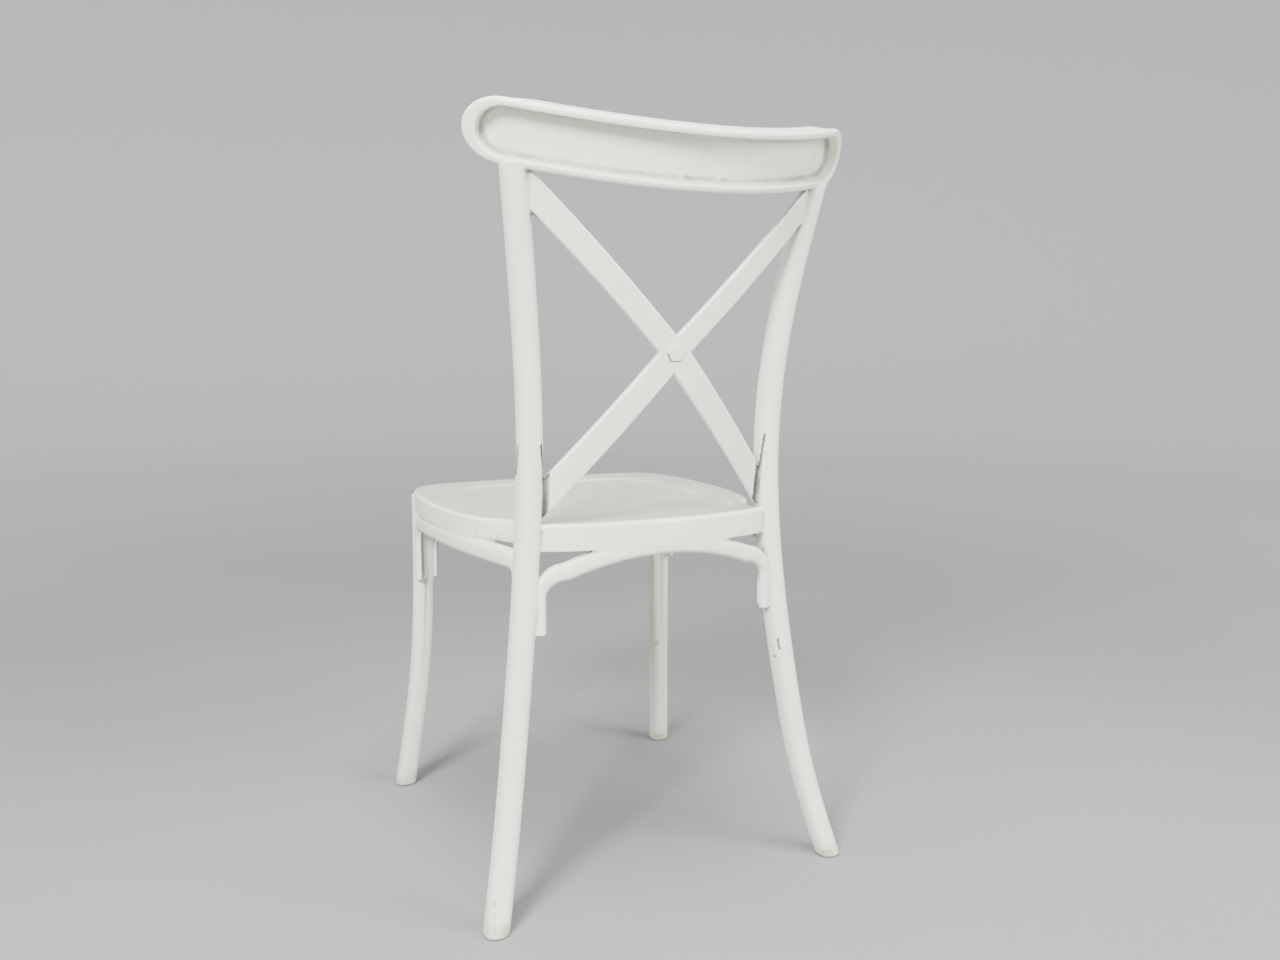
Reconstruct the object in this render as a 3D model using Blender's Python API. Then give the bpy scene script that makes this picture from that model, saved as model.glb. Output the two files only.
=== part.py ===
"""White cross-back chair, moulded in one piece.

Metres, +Z up. The sitter faces -Y and the sitter's left is +X. The origin lies on the
floor, under the middle of the chair's overall width and depth. The stations and outlines
below are measured from the middle of the seat, and the joined body is moved at the end.

The chair is one plastic moulding: two long rear legs that run up into the crest rail,
two front legs, the seat with its apron, four bent hoops under the seat, and the flat X
of the back with its raised hexagon. Each member is drawn as a closed solid that runs
into its neighbours, and Booleans join them into one body.
"""

import math

import bmesh
import bpy
import numpy as np
from mathutils import Matrix, Vector

# A round corner drawn with one point between its ends is cut in by this share of its radius
ROUND_CUT = 1.0 - math.sqrt(0.5)

# Legs: stations (height, distance from the middle, place front to rear) of the centre line
REAR_LEG_STATIONS = (
    (0.000, 0.2230, 0.2290),
    (0.100, 0.2007, 0.2040),
    (0.220, 0.1820, 0.1870),
    (0.440, 0.1590, 0.1725),
    (0.540, 0.1560, 0.1740),
    (0.680, 0.1650, 0.1875),
    (0.838, 0.1870, 0.2202),
)
REAR_LEG_WIDTH = 0.0285
REAR_LEG_DEPTH = 0.0305
REAR_LEG_RINGS = 22

FRONT_LEG_STATIONS = (
    (0.000, 0.2108, -0.2290),
    (0.100, 0.1998, -0.2086),
    (0.200, 0.1915, -0.1928),
    (0.300, 0.1878, -0.1848),
    (0.438, 0.1868, -0.1820),
)
FRONT_LEG_WIDTH = 0.0280
FRONT_LEG_DEPTH = 0.0280
FRONT_LEG_RINGS = 14

LEG_SIDES = 16
LEG_SQUARENESS = 2.6
FOOT_EDGE = 0.0020

# Seat: half of the plan outline, from the middle of the front edge round to the middle of
# the rear edge. It narrows to a neck in front of the rear leg.
SEAT_OUTLINE = (
    (0.000, -0.2360),
    (0.090, -0.2375),
    (0.160, -0.2290),
    (0.192, -0.2000),
    (0.2045, -0.1400),
    (0.2080, -0.0700),
    (0.2045, -0.0050),
    (0.1960, 0.0500),
    (0.1820, 0.0860),
    (0.1650, 0.1060),
    (0.1570, 0.1320),
    (0.1540, 0.1640),
    (0.1390, 0.1880),
    (0.0800, 0.2030),
    (0.0000, 0.2100),
)
SEAT_TOP = 0.4450
APRON_DEPTH = 0.0275
SEAT_WALL = 0.0045
SEAT_EDGE_RADIUS = 0.0040
PAN_HALF_WIDTH = 0.1560
PAN_FRONT = -0.1900
PAN_REAR = 0.1620
PAN_DEPTH = 0.0030
PAN_SLOPE = 0.0080
PAN_SQUARENESS = 4.5
SEAT_POINTS_PER_HALF = 40

# Hoops: one thin-walled arch between each two neighbouring legs, open towards the middle
HOOP_DEPTH = 0.0235
HOOP_END_DEPTH = 0.0165
HOOP_WIDTH = 0.0165
HOOP_WALL = 0.0040
HOOP_ROUNDING = 0.0070
HOOP_ROUND_STEPS = 3
HOOP_CHANNEL_BEVEL = 0.0022
HOOP_CHANNEL_FLAT = 0.0044
HOOP_SINK_IN_LEG = 0.0090
HOOP_SINK_IN_SEAT = 0.0015
HOOP_FALL_TO_END = 0.0870
HOOP_DROP = 0.0140
HOOP_CORNER_RADIUS = 0.0360
REAR_HOOP_SINK_IN_SEAT = 0.0122
REAR_HOOP_FALL_TO_END = 0.0960
REAR_HOOP_DROP = 0.0245
REAR_HOOP_CORNER_RADIUS = 0.0300
REAR_HOOP_OUTWARD = 0.0018
REAR_HOOP_SET_BACK = 0.0060
SIDE_HOOP_DROP = 0.0020
SIDE_HOOP_FRONT_RADIUS = 0.0300
SIDE_HOOP_REAR_RADIUS = 0.0160
SIDE_HOOP_OUT_AT_FRONT = 0.0070
SIDE_HOOP_IN_AT_REAR = 0.0062
HOOP_SEAT_OVERLAP = 0.0092
SIDE_HOOP_SEAT_OVERLAP = 0.0110
INNER_FLANGE_SHORTER = 0.0160
HOOP_CORNER_STEPS = 7
HOOP_ARCH_STEPS = 14

# Crest rail: a stadium-shaped dish, bent round the sitter and leaning back
CREST_HEIGHT = 0.0665
CREST_HALF_LENGTH = 0.2372
CREST_THICKNESS = 0.0340
CREST_CENTRE_Z = 0.8396
CREST_REAR_Y = 0.3050
CREST_TILT = math.radians(19.5)
CREST_BEND = 1.933
CREST_RIM = 0.0085
CREST_END_RIM = 0.0145
CREST_TIP_THICKNESS = 0.0230
CREST_TAPER_STARTS = 0.7600
CREST_RECESS_DEPTH = 0.0180
CREST_EDGE_RADIUS = 0.0050
CREST_LIP_RADIUS = 0.0025
CREST_FRONT_ROUNDING = 0.0120
CREST_STRAIGHT_STEPS = 20
CREST_END_STEPS = 7

# X of the back: a flat plate bowed like the crest, its arms straight seen from behind
BRACE_CROSSING_Z = 0.6410
BRACE_CROSSING_Y = 0.2295
BRACE_LEAN = 0.1674
BRACE_BOW = 1.199
BRACE_UPPER_CURVE = 0.140
BRACE_THICKNESS = 0.0085
UPPER_ARM_WIDTH = 0.0264
UPPER_ARM_SLOPE = 1.0000
UPPER_ARM_REACH = 0.1800
LOWER_ARM_WIDTH = 0.0302
LOWER_ARM_SLOPE = 1.1620
LOWER_ARM_REACH = 0.1490
LOWER_ARM_CUT = 0.1420
ARM_STEPS = 8
ARM_MERGE_DISTANCE = 0.00001

# Raised hexagon at the crossing
BOSS_SIDES = 6
BOSS_ACROSS_CORNERS = 0.0225
BOSS_EDGE = 0.0008
BOSS_PROUD = 0.0016
BOSS_ROOT = 0.0040

WHITE_PLASTIC = (0.84, 0.85, 0.82, 1.0)
PLASTIC_ROUGHNESS = 0.42
SHARP_ANGLE = math.radians(35.0)


def spline_through(stations):
    """A natural cubic curve through stations (t, x, y), as a function of t."""
    table = np.array(stations, dtype=float)
    t = table[:, 0]
    values = table[:, 1:]
    count = len(t)
    step = np.diff(t)
    system = np.zeros((count, count))
    target = np.zeros((count, values.shape[1]))
    system[0, 0] = 1.0
    system[-1, -1] = 1.0
    for i in range(1, count - 1):
        system[i, i - 1] = step[i - 1]
        system[i, i] = 2.0 * (step[i - 1] + step[i])
        system[i, i + 1] = step[i]
        rise_before = (values[i] - values[i - 1]) / step[i - 1]
        rise_after = (values[i + 1] - values[i]) / step[i]
        target[i] = 6.0 * (rise_after - rise_before)
    second = np.linalg.solve(system, target)

    def at(where):
        i = int(np.clip(np.searchsorted(t, where) - 1, 0, count - 2))
        h = step[i]
        a = (t[i + 1] - where) / h
        b = (where - t[i]) / h
        bend = ((a**3 - a) * second[i] + (b**3 - b) * second[i + 1]) * h * h / 6.0
        return a * values[i] + b * values[i + 1] + bend

    return at


def rounded_ring(centre, width, depth, sides, squareness):
    """A level ring of points: an ellipse for squareness 2, nearer a rectangle above it."""
    ring = []
    for i in range(sides):
        turn = 2.0 * math.pi * (i + 0.5) / sides
        c = math.cos(turn)
        s = math.sin(turn)
        reach = (abs(c) ** squareness + abs(s) ** squareness) ** (-1.0 / squareness)
        ring.append(centre + Vector((0.5 * width * reach * c, 0.5 * depth * reach * s, 0.0)))
    return ring


def add_object(name, bm):
    """Turns a bmesh into an object with its faces pointing out."""
    bmesh.ops.recalc_face_normals(bm, faces=bm.faces[:])
    mesh = bpy.data.meshes.new(name)
    bm.to_mesh(mesh)
    bm.free()
    obj = bpy.data.objects.new(name, mesh)
    bpy.context.scene.collection.objects.link(obj)
    return obj


def bridge_rings(bm, rings):
    """Joins closed rings of equal count with quads and returns their vertices."""
    layers = [[bm.verts.new(point) for point in ring] for ring in rings]
    for lower, upper in zip(layers, layers[1:]):
        count = len(lower)
        for i in range(count):
            j = (i + 1) % count
            bm.faces.new((lower[i], lower[j], upper[j], upper[i]))
    return layers


def loft(name, rings):
    """A closed solid through level rings, capped at both ends."""
    bm = bmesh.new()
    layers = bridge_rings(bm, rings)
    bm.faces.new(layers[0])
    bm.faces.new(layers[-1])
    return add_object(name, bm)


def make_leg(name, side, stations, width, depth, rings):
    """A leg with level sections along its curve; its foot has a small rounded edge."""
    curve = spline_through(stations)
    top = stations[-1][0]
    heights = [0.0, FOOT_EDGE] + [top * (i + 1) / rings for i in range(rings)]
    sections = []
    for height in heights:
        x, y = curve(height)
        narrower = 2.0 * FOOT_EDGE if height == 0.0 else 0.0
        centre = Vector((side * x, y, height))
        sections.append(
            rounded_ring(centre, width - narrower, depth - narrower, LEG_SIDES, LEG_SQUARENESS)
        )
    return loft(name, sections)


def seat_outline():
    """The whole plan outline of the seat as (x, y) points, starting at the front."""
    curve_points = [(i, x, y) for i, (x, y) in enumerate(SEAT_OUTLINE)]
    last = len(SEAT_OUTLINE) - 1
    # Mirrored neighbours at both ends keep the outline square to the middle line.
    before = [(-i, -x, y) for i, (x, y) in list(enumerate(SEAT_OUTLINE))[2:0:-1]]
    after = [(2 * last - i, -x, y) for i, (x, y) in list(enumerate(SEAT_OUTLINE))[-2:-4:-1]]
    curve = spline_through(before + curve_points + after)
    half = [curve(last * i / SEAT_POINTS_PER_HALF) for i in range(SEAT_POINTS_PER_HALF + 1)]
    mirrored = [(-x, y) for x, y in half[-2:0:-1]]
    return [(float(x), float(y)) for x, y in half] + [(float(x), float(y)) for x, y in mirrored]


def inset_outline(outline, distance):
    """The closed outline moved inwards by the distance, square to itself."""
    points = np.array(outline)
    ahead = np.roll(points, -1, axis=0)
    behind = np.roll(points, 1, axis=0)
    along = ahead - behind
    along /= np.linalg.norm(along, axis=1)[:, None]
    inward = np.stack((-along[:, 1], along[:, 0]), axis=1)
    return points + inward * distance


def pan_outline(outline, inset):
    """The edge of the shallow pan, point for point along the rays to the seat's outline."""
    middle = 0.5 * (PAN_FRONT + PAN_REAR)
    half_depth = 0.5 * (PAN_REAR - PAN_FRONT) - inset
    half_width = PAN_HALF_WIDTH - inset
    points = []
    for x, y in outline:
        turn = math.atan2(y - middle, x)
        across = abs(math.cos(turn) / half_width) ** PAN_SQUARENESS
        along = abs(math.sin(turn) / half_depth) ** PAN_SQUARENESS
        reach = (across + along) ** (-1.0 / PAN_SQUARENESS)
        points.append((reach * math.cos(turn), middle + reach * math.sin(turn)))
    return points


def make_seat():
    """The seat: a shell with an apron all round, open below, and a shallow pan on top."""
    outline = seat_outline()
    radius = SEAT_EDGE_RADIUS
    apron_bottom = SEAT_TOP - APRON_DEPTH
    ceiling = SEAT_TOP - PAN_DEPTH - SEAT_WALL

    def level(points, height):
        return [Vector((x, y, height)) for x, y in points]

    inner = inset_outline(outline, SEAT_WALL)
    rings = [
        level(inner, ceiling),
        level(inner, apron_bottom),
        level(outline, apron_bottom),
        level(outline, SEAT_TOP - radius),
        level(inset_outline(outline, radius * ROUND_CUT), SEAT_TOP - radius * ROUND_CUT),
        level(inset_outline(outline, radius), SEAT_TOP),
        level(pan_outline(outline, 0.0), SEAT_TOP),
        level(pan_outline(outline, PAN_SLOPE), SEAT_TOP - PAN_DEPTH),
    ]
    return loft("seat", rings)


def channel_profile():
    """Section of a hoop as (outwards, across), open towards the middle of the chair.

    The wall that faces out of the chair has the positive across. It is rounded at both its
    edges, and the flange opposite it is only a lip.
    """
    half_depth = 0.5 * HOOP_DEPTH
    half_width = 0.5 * HOOP_WIDTH
    inner_half = half_width - HOOP_WALL
    ceiling = half_depth - HOOP_WALL
    lip_end = HOOP_WALL - half_depth
    r = HOOP_ROUNDING
    profile = [
        (lip_end, half_width - r),
        (lip_end + HOOP_CHANNEL_BEVEL, inner_half),
        (ceiling - HOOP_CHANNEL_BEVEL, inner_half),
        (ceiling, 0.5 * HOOP_CHANNEL_FLAT),
        (ceiling, -0.5 * HOOP_CHANNEL_FLAT),
        (ceiling - HOOP_CHANNEL_BEVEL, -inner_half),
        (INNER_FLANGE_SHORTER - half_depth, -inner_half),
        (INNER_FLANGE_SHORTER - half_depth, -half_width),
    ]
    for out_way, across_way in ((1.0, -1.0), (1.0, 1.0), (-1.0, 1.0)):
        for i in range(HOOP_ROUND_STEPS + 1):
            step = i if out_way * across_way < 0.0 else HOOP_ROUND_STEPS - i
            turn = 0.5 * math.pi * step / HOOP_ROUND_STEPS
            out = out_way * (half_depth - r + r * math.sin(turn))
            across = across_way * (half_width - r + r * math.cos(turn))
            profile.append((out, across))
    return profile


def hoop_half(half, crown, end_height, drop, radius):
    """Half an arch from its end to its middle: (distance along, height, outward turn)."""
    shoulder = half - radius
    fall = drop / shoulder**2
    tilt = math.atan(2.0 * fall * shoulder)
    centre_z = crown - drop - radius * math.cos(tilt)
    centre_a = shoulder - radius * math.sin(tilt)
    stretch = (half - centre_a) / radius
    line = [(half, end_height, 0.5 * math.pi)]
    line.append((half, 0.5 * (end_height + centre_z), 0.5 * math.pi))
    for i in range(HOOP_CORNER_STEPS):
        turn = 0.5 * math.pi + (tilt - 0.5 * math.pi) * i / HOOP_CORNER_STEPS
        along = centre_a + stretch * radius * math.sin(turn)
        line.append((along, centre_z + radius * math.cos(turn), turn))
    for i in range(HOOP_ARCH_STEPS // 2 + 1):
        along = shoulder * (1.0 - 2.0 * i / HOOP_ARCH_STEPS)
        line.append((along, crown - fall * along**2, math.atan(2.0 * fall * along)))
    return line


def hoop_centre_line(start, end, crown, end_height, drop, radii):
    """An arch in the (along, height) plane, as points with their outward directions.

    It rises along one leg, turns through a rounded corner, crosses in a shallow arc that
    drops from its crown to the corners, and comes down at the other leg.
    """
    middle = 0.5 * (start + end)
    half = 0.5 * (end - start)
    first, last = (hoop_half(half, crown, end_height, drop, radius) for radius in radii)
    falling = [(middle + a, z, turn) for a, z, turn in last]
    rising = [(middle - a, z, -turn) for a, z, turn in first[-2::-1]]
    return falling + rising


def make_hoop(name, line, place):
    """A hoop along its line; place(along, height) gives the point and the directions there."""
    rings = []
    for along, height, turn in line:
        point, along_direction, across_direction = place(along, height)
        outward = along_direction * math.sin(turn) + Vector((0.0, 0.0, math.cos(turn)))
        outward *= 1.0 - (1.0 - HOOP_END_DEPTH / HOOP_DEPTH) * abs(turn) / (0.5 * math.pi)
        rings.append([point + outward * o + across_direction * a for o, a in channel_profile()])
    return loft(name, rings)


def bowed_place(axis, ends, middle_offset):
    """Places a hoop along one axis, bowed sideways through three given offsets.

    The across direction is the level one that points out of the chair.
    """
    (first, first_offset), (last, last_offset) = ends
    centre = 0.5 * (first + last)
    fit = np.polyfit((first, centre, last), (first_offset, middle_offset, last_offset), 2)
    slope = np.polyder(fit)

    def place(along, height):
        offset = float(np.polyval(fit, along))
        lean = float(np.polyval(slope, along))
        if axis == "x":
            direction = Vector((1.0, lean, 0.0)).normalized()
            point = Vector((along, offset, height))
        else:
            direction = Vector((lean, 1.0, 0.0)).normalized()
            point = Vector((offset, along, height))
        across = Vector((-direction.y, direction.x, 0.0))
        if across.dot(point) < 0.0:
            across.negate()
        return point, direction, across

    return place


def make_hoops():
    """The four hoops, each from leg to leg, bowed out to run under the seat's apron."""
    apron_bottom = SEAT_TOP - APRON_DEPTH
    height = apron_bottom - HOOP_DROP - HOOP_CORNER_RADIUS
    rear_x, rear_y = spline_through(REAR_LEG_STATIONS)(height)
    front_x, front_y = spline_through(FRONT_LEG_STATIONS)(height)
    stand_off = 0.5 * HOOP_DEPTH - HOOP_SINK_IN_LEG
    rear_end = rear_x - 0.5 * REAR_LEG_WIDTH - stand_off + REAR_HOOP_OUTWARD
    front_end = front_x - 0.5 * FRONT_LEG_WIDTH - stand_off
    side_rear = rear_y - 0.5 * REAR_LEG_DEPTH - stand_off
    side_front = front_y + 0.5 * FRONT_LEG_DEPTH + stand_off
    seat_rear = SEAT_OUTLINE[-1][1]
    seat_front = SEAT_OUTLINE[0][1]
    seat_side = max(x for x, y in SEAT_OUTLINE)
    hoops = []
    crown = apron_bottom + REAR_HOOP_SINK_IN_SEAT - 0.5 * HOOP_DEPTH
    radii = (REAR_HOOP_CORNER_RADIUS, REAR_HOOP_CORNER_RADIUS)
    end_height = crown - REAR_HOOP_FALL_TO_END
    line = hoop_centre_line(-rear_end, rear_end, crown, end_height, REAR_HOOP_DROP, radii)
    set_y = rear_y + REAR_HOOP_SET_BACK
    ends = ((-rear_end, set_y), (rear_end, set_y))
    hoops.append(make_hoop("rear_hoop", line, bowed_place("x", ends, seat_rear - HOOP_SEAT_OVERLAP)))
    crown = apron_bottom + HOOP_SINK_IN_SEAT - 0.5 * HOOP_DEPTH
    radii = (HOOP_CORNER_RADIUS, HOOP_CORNER_RADIUS)
    end_height = crown - HOOP_FALL_TO_END
    line = hoop_centre_line(-front_end, front_end, crown, end_height, HOOP_DROP, radii)
    ends = ((-front_end, front_y), (front_end, front_y))
    hoops.append(make_hoop("front_hoop", line, bowed_place("x", ends, seat_front + HOOP_SEAT_OVERLAP)))
    radii = (SIDE_HOOP_FRONT_RADIUS, SIDE_HOOP_REAR_RADIUS)
    line = hoop_centre_line(side_front, side_rear, crown, end_height, SIDE_HOOP_DROP, radii)
    for side in (-1.0, 1.0):
        front_offset = side * (front_x + SIDE_HOOP_OUT_AT_FRONT)
        rear_offset = side * (rear_x - SIDE_HOOP_IN_AT_REAR)
        ends = ((side_front, front_offset), (side_rear, rear_offset))
        place = bowed_place("y", ends, side * (seat_side - SIDE_HOOP_SEAT_OVERLAP))
        hoops.append(make_hoop("side_hoop", line, place))
    return hoops


def stadium(half_length, radius):
    """Pairs of points (along, half height) from one end to the other, ends rounded."""
    straight = half_length - radius
    pairs = []
    for i in range(1, CREST_END_STEPS + 1):
        turn = 0.5 * math.pi * i / CREST_END_STEPS
        pairs.append((straight + radius * math.cos(turn), radius * math.sin(turn)))
    for i in range(1, CREST_STRAIGHT_STEPS):
        pairs.append((straight * (1.0 - 2.0 * i / CREST_STRAIGHT_STEPS), radius))
    return pairs + [(-along, up) for along, up in pairs[CREST_END_STEPS - 1 :: -1]]


def crest_point(along, up, depth):
    """A point of the crest: along its length, up its height, and depth in from its rear."""
    slope = 2.0 * CREST_BEND * along
    length = math.hypot(1.0, slope)
    x = along - depth * slope / length
    rearward = -CREST_BEND * along**2 - depth / length
    y = CREST_REAR_Y + rearward * math.cos(CREST_TILT) + up * math.sin(CREST_TILT)
    z = CREST_CENTRE_Z - rearward * math.sin(CREST_TILT) + up * math.cos(CREST_TILT)
    return Vector((x, y, z))


def tapered_depth(along, depth):
    """The depth of a point that lies behind the recess, less towards the crest's tips."""
    if depth <= CREST_RECESS_DEPTH:
        return depth
    share = (abs(along) / CREST_HALF_LENGTH - CREST_TAPER_STARTS) / (1.0 - CREST_TAPER_STARTS)
    share = min(max(share, 0.0), 1.0)
    return depth - (CREST_THICKNESS - CREST_TIP_THICKNESS) * share * share * (3.0 - 2.0 * share)


def crest_ring(inset, end_inset, depth):
    """A closed loop of the crest: the stadium inset from its edges and ends, at a depth."""
    tip = CREST_HALF_LENGTH - end_inset
    pairs = stadium(tip, 0.5 * CREST_HEIGHT - inset)
    pairs = [(tip, 0.0)] + pairs + [(-tip, 0.0)] + [(along, -up) for along, up in pairs[::-1]]
    return [crest_point(along, up, tapered_depth(along, depth)) for along, up in pairs]


def make_crest():
    """The crest rail, with a rounded rim round a recess that is open to the rear."""
    rim = CREST_RIM
    end_rim = CREST_END_RIM
    floor = CREST_RECESS_DEPTH
    edge_cut = ROUND_CUT * CREST_EDGE_RADIUS
    lip_cut = ROUND_CUT * CREST_LIP_RADIUS
    front_cut = ROUND_CUT * CREST_FRONT_ROUNDING
    loops = [
        (rim + CREST_EDGE_RADIUS, end_rim + CREST_EDGE_RADIUS, floor),
        (rim + edge_cut, end_rim + edge_cut, floor - edge_cut),
        (rim, end_rim, CREST_LIP_RADIUS),
        (rim - lip_cut, end_rim - lip_cut, lip_cut),
        (0.5 * rim, 0.5 * rim, 0.0),
        (edge_cut, edge_cut, edge_cut),
        (0.0, 0.0, CREST_EDGE_RADIUS),
        (0.0, 0.0, CREST_THICKNESS - CREST_FRONT_ROUNDING),
        (front_cut, front_cut, CREST_THICKNESS - front_cut),
        (CREST_FRONT_ROUNDING, CREST_FRONT_ROUNDING, CREST_THICKNESS),
    ]
    bm = bmesh.new()
    layers = bridge_rings(bm, [crest_ring(*loop) for loop in loops])
    half = len(layers[0]) // 2
    for layer in (layers[0], layers[-1]):
        # The two rows of a loop face each other across the height.
        bm.faces.new((layer[0], layer[1], layer[-1]))
        bm.faces.new((layer[half], layer[half + 1], layer[half - 1]))
        for i in range(1, half - 1):
            bm.faces.new((layer[i], layer[i + 1], layer[-i - 1], layer[-i]))
    return add_object("crest", bm)


def brace_point(x, z, forward):
    """A point of the X plate, the given distance forward of its bowed rear face."""
    rise = z - BRACE_CROSSING_Z
    lean = BRACE_LEAN * rise + BRACE_UPPER_CURVE * max(rise, 0.0) ** 2
    return Vector((x, BRACE_CROSSING_Y + lean - BRACE_BOW * x * x - forward, z))


def brace_outline():
    """Edges of the four arms as rows of (x, z), from the crossing out to each end."""
    upper_gap = 0.5 * UPPER_ARM_WIDTH * math.hypot(1.0, UPPER_ARM_SLOPE)
    lower_gap = 0.5 * LOWER_ARM_WIDTH * math.hypot(1.0, LOWER_ARM_SLOPE)
    notch_x = (upper_gap + lower_gap) / (UPPER_ARM_SLOPE + LOWER_ARM_SLOPE)
    notch_z = BRACE_CROSSING_Z - upper_gap + UPPER_ARM_SLOPE * notch_x
    upper_end = BRACE_CROSSING_Z + UPPER_ARM_SLOPE * UPPER_ARM_REACH
    upper_row_over = ((0.0, BRACE_CROSSING_Z + upper_gap), (UPPER_ARM_REACH, upper_end + upper_gap))
    upper_row_under = ((notch_x, notch_z), (UPPER_ARM_REACH, upper_end - upper_gap))
    cut_z = BRACE_CROSSING_Z + lower_gap - LOWER_ARM_SLOPE * LOWER_ARM_CUT
    reach_z = BRACE_CROSSING_Z - lower_gap - LOWER_ARM_SLOPE * LOWER_ARM_REACH
    lower_row_over = ((notch_x, notch_z), (LOWER_ARM_CUT, cut_z))
    lower_row_under = ((0.0, BRACE_CROSSING_Z - lower_gap), (LOWER_ARM_REACH, reach_z))
    return (upper_row_over, upper_row_under), (lower_row_over, lower_row_under)


def make_brace():
    """The X plate as one closed solid, its front face a thickness ahead of the rear one."""
    bm = bmesh.new()
    for side in (-1.0, 1.0):
        for first, second in brace_outline():
            for forward in (0.0, BRACE_THICKNESS):
                rows = []
                for start, end in (first, second):
                    row = []
                    for i in range(ARM_STEPS + 1):
                        share = i / ARM_STEPS
                        x = start[0] + (end[0] - start[0]) * share
                        z = start[1] + (end[1] - start[1]) * share
                        row.append(bm.verts.new(brace_point(side * x, z, forward)))
                    rows.append(row)
                for i in range(ARM_STEPS):
                    bm.faces.new((rows[0][i], rows[0][i + 1], rows[1][i + 1], rows[1][i]))
    bmesh.ops.remove_doubles(bm, verts=bm.verts[:], dist=ARM_MERGE_DISTANCE)
    for forward in (0.0, BRACE_THICKNESS):
        corners = []
        (over, _), (_, under) = brace_outline()
        notch = brace_outline()[0][1][0]
        for x, z in (over[0], notch, under[0], (-notch[0], notch[1])):
            target = brace_point(x, z, forward)
            corners.append(min(bm.verts, key=lambda vert: (vert.co - target).length))
        bm.faces.new(corners)
    rim = [edge for edge in bm.edges if edge.is_boundary]
    bmesh.ops.bridge_loops(bm, edges=rim)
    return add_object("brace", bm)


def make_boss():
    """The raised hexagon, square to the plate at the crossing."""
    normal = Vector((0.0, 1.0, -BRACE_LEAN)).normalized()
    up = Vector((0.0, BRACE_LEAN, 1.0)).normalized()
    across = Vector((1.0, 0.0, 0.0))
    centre = brace_point(0.0, BRACE_CROSSING_Z, 0.0)
    rings = []
    for radius, height in (
        (0.5 * BOSS_ACROSS_CORNERS, -BOSS_ROOT),
        (0.5 * BOSS_ACROSS_CORNERS, BOSS_PROUD - BOSS_EDGE),
        (0.5 * BOSS_ACROSS_CORNERS - BOSS_EDGE, BOSS_PROUD),
    ):
        ring = []
        for i in range(BOSS_SIDES):
            turn = 2.0 * math.pi * i / BOSS_SIDES
            spoke = across * math.cos(turn) + up * math.sin(turn)
            ring.append(centre + spoke * radius + normal * height)
        rings.append(ring)
    return loft("boss", rings)


def white_plastic():
    """Satin white plastic."""
    material = bpy.data.materials.new("white_plastic")
    material.use_nodes = True
    shader = material.node_tree.nodes["Principled BSDF"]
    shader.inputs["Base Color"].default_value = WHITE_PLASTIC
    shader.inputs["Roughness"].default_value = PLASTIC_ROUGHNESS
    shader.inputs["Metallic"].default_value = 0.0
    return material


def join_all(members):
    """Joins the members into one body and removes the separate ones."""
    body = members[0]
    for member in members[1:]:
        union = body.modifiers.new("join_" + member.name, "BOOLEAN")
        union.operation = "UNION"
        union.solver = "EXACT"
        union.object = member
    graph = bpy.context.evaluated_depsgraph_get()
    mesh = bpy.data.meshes.new_from_object(body.evaluated_get(graph))
    chair = bpy.data.objects.new("chair_moulding", mesh)
    bpy.context.scene.collection.objects.link(chair)
    for member in members:
        bpy.data.objects.remove(member, do_unlink=True)
    return chair


def centre_over_origin(mesh):
    """Moves the mesh front to rear until its overall depth is centred on the origin."""
    reach = [vertex.co.y for vertex in mesh.vertices]
    mesh.transform(Matrix.Translation((0.0, -0.5 * (min(reach) + max(reach)), 0.0)))


def main():
    for obj in list(bpy.data.objects):
        bpy.data.objects.remove(obj, do_unlink=True)
    members = [make_seat()]
    rear_leg = (REAR_LEG_STATIONS, REAR_LEG_WIDTH, REAR_LEG_DEPTH, REAR_LEG_RINGS)
    front_leg = (FRONT_LEG_STATIONS, FRONT_LEG_WIDTH, FRONT_LEG_DEPTH, FRONT_LEG_RINGS)
    for side in (-1.0, 1.0):
        members.append(make_leg("rear_leg", side, *rear_leg))
        members.append(make_leg("front_leg", side, *front_leg))
    members.extend(make_hoops())
    members.append(make_crest())
    members.append(make_brace())
    members.append(make_boss())
    mesh = join_all(members).data
    centre_over_origin(mesh)
    mesh.materials.clear()
    mesh.materials.append(white_plastic())
    mesh.shade_smooth()
    mesh.set_sharp_from_angle(angle=SHARP_ANGLE)


main()
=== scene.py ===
"""The looks of the white moulded cross-back chair.

Metres, +Z up. The sitter faces -Y and the sitter's left is +X. The chair is one plastic
moulding, so its members are drawn as closed meshes, fused into one skin with soft fillets
where they meet, and given a satin white plastic with the wear of the photographed chair,
and with painted shade in its creases, hollows and on its seat's top, painted shadows at
its soles and round its hexagon, and painted highlights on its edges.
"""

import math

import bmesh
import bpy
import numpy as np
from mathutils import Matrix, Vector
from mathutils.bvhtree import BVHTree
from mathutils.kdtree import KDTree


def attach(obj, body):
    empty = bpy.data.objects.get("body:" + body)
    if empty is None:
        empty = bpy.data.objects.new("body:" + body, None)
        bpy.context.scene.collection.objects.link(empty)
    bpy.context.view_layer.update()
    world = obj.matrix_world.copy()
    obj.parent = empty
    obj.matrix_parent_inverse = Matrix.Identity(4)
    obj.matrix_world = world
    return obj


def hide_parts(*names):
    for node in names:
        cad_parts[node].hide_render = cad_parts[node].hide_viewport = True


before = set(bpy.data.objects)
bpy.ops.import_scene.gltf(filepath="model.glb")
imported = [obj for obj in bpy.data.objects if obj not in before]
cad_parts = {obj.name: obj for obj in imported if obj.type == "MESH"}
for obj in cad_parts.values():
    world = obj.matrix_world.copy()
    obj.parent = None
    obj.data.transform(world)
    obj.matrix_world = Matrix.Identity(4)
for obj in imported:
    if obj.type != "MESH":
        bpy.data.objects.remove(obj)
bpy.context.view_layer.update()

CHAIR = "chair_moulding"

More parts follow.
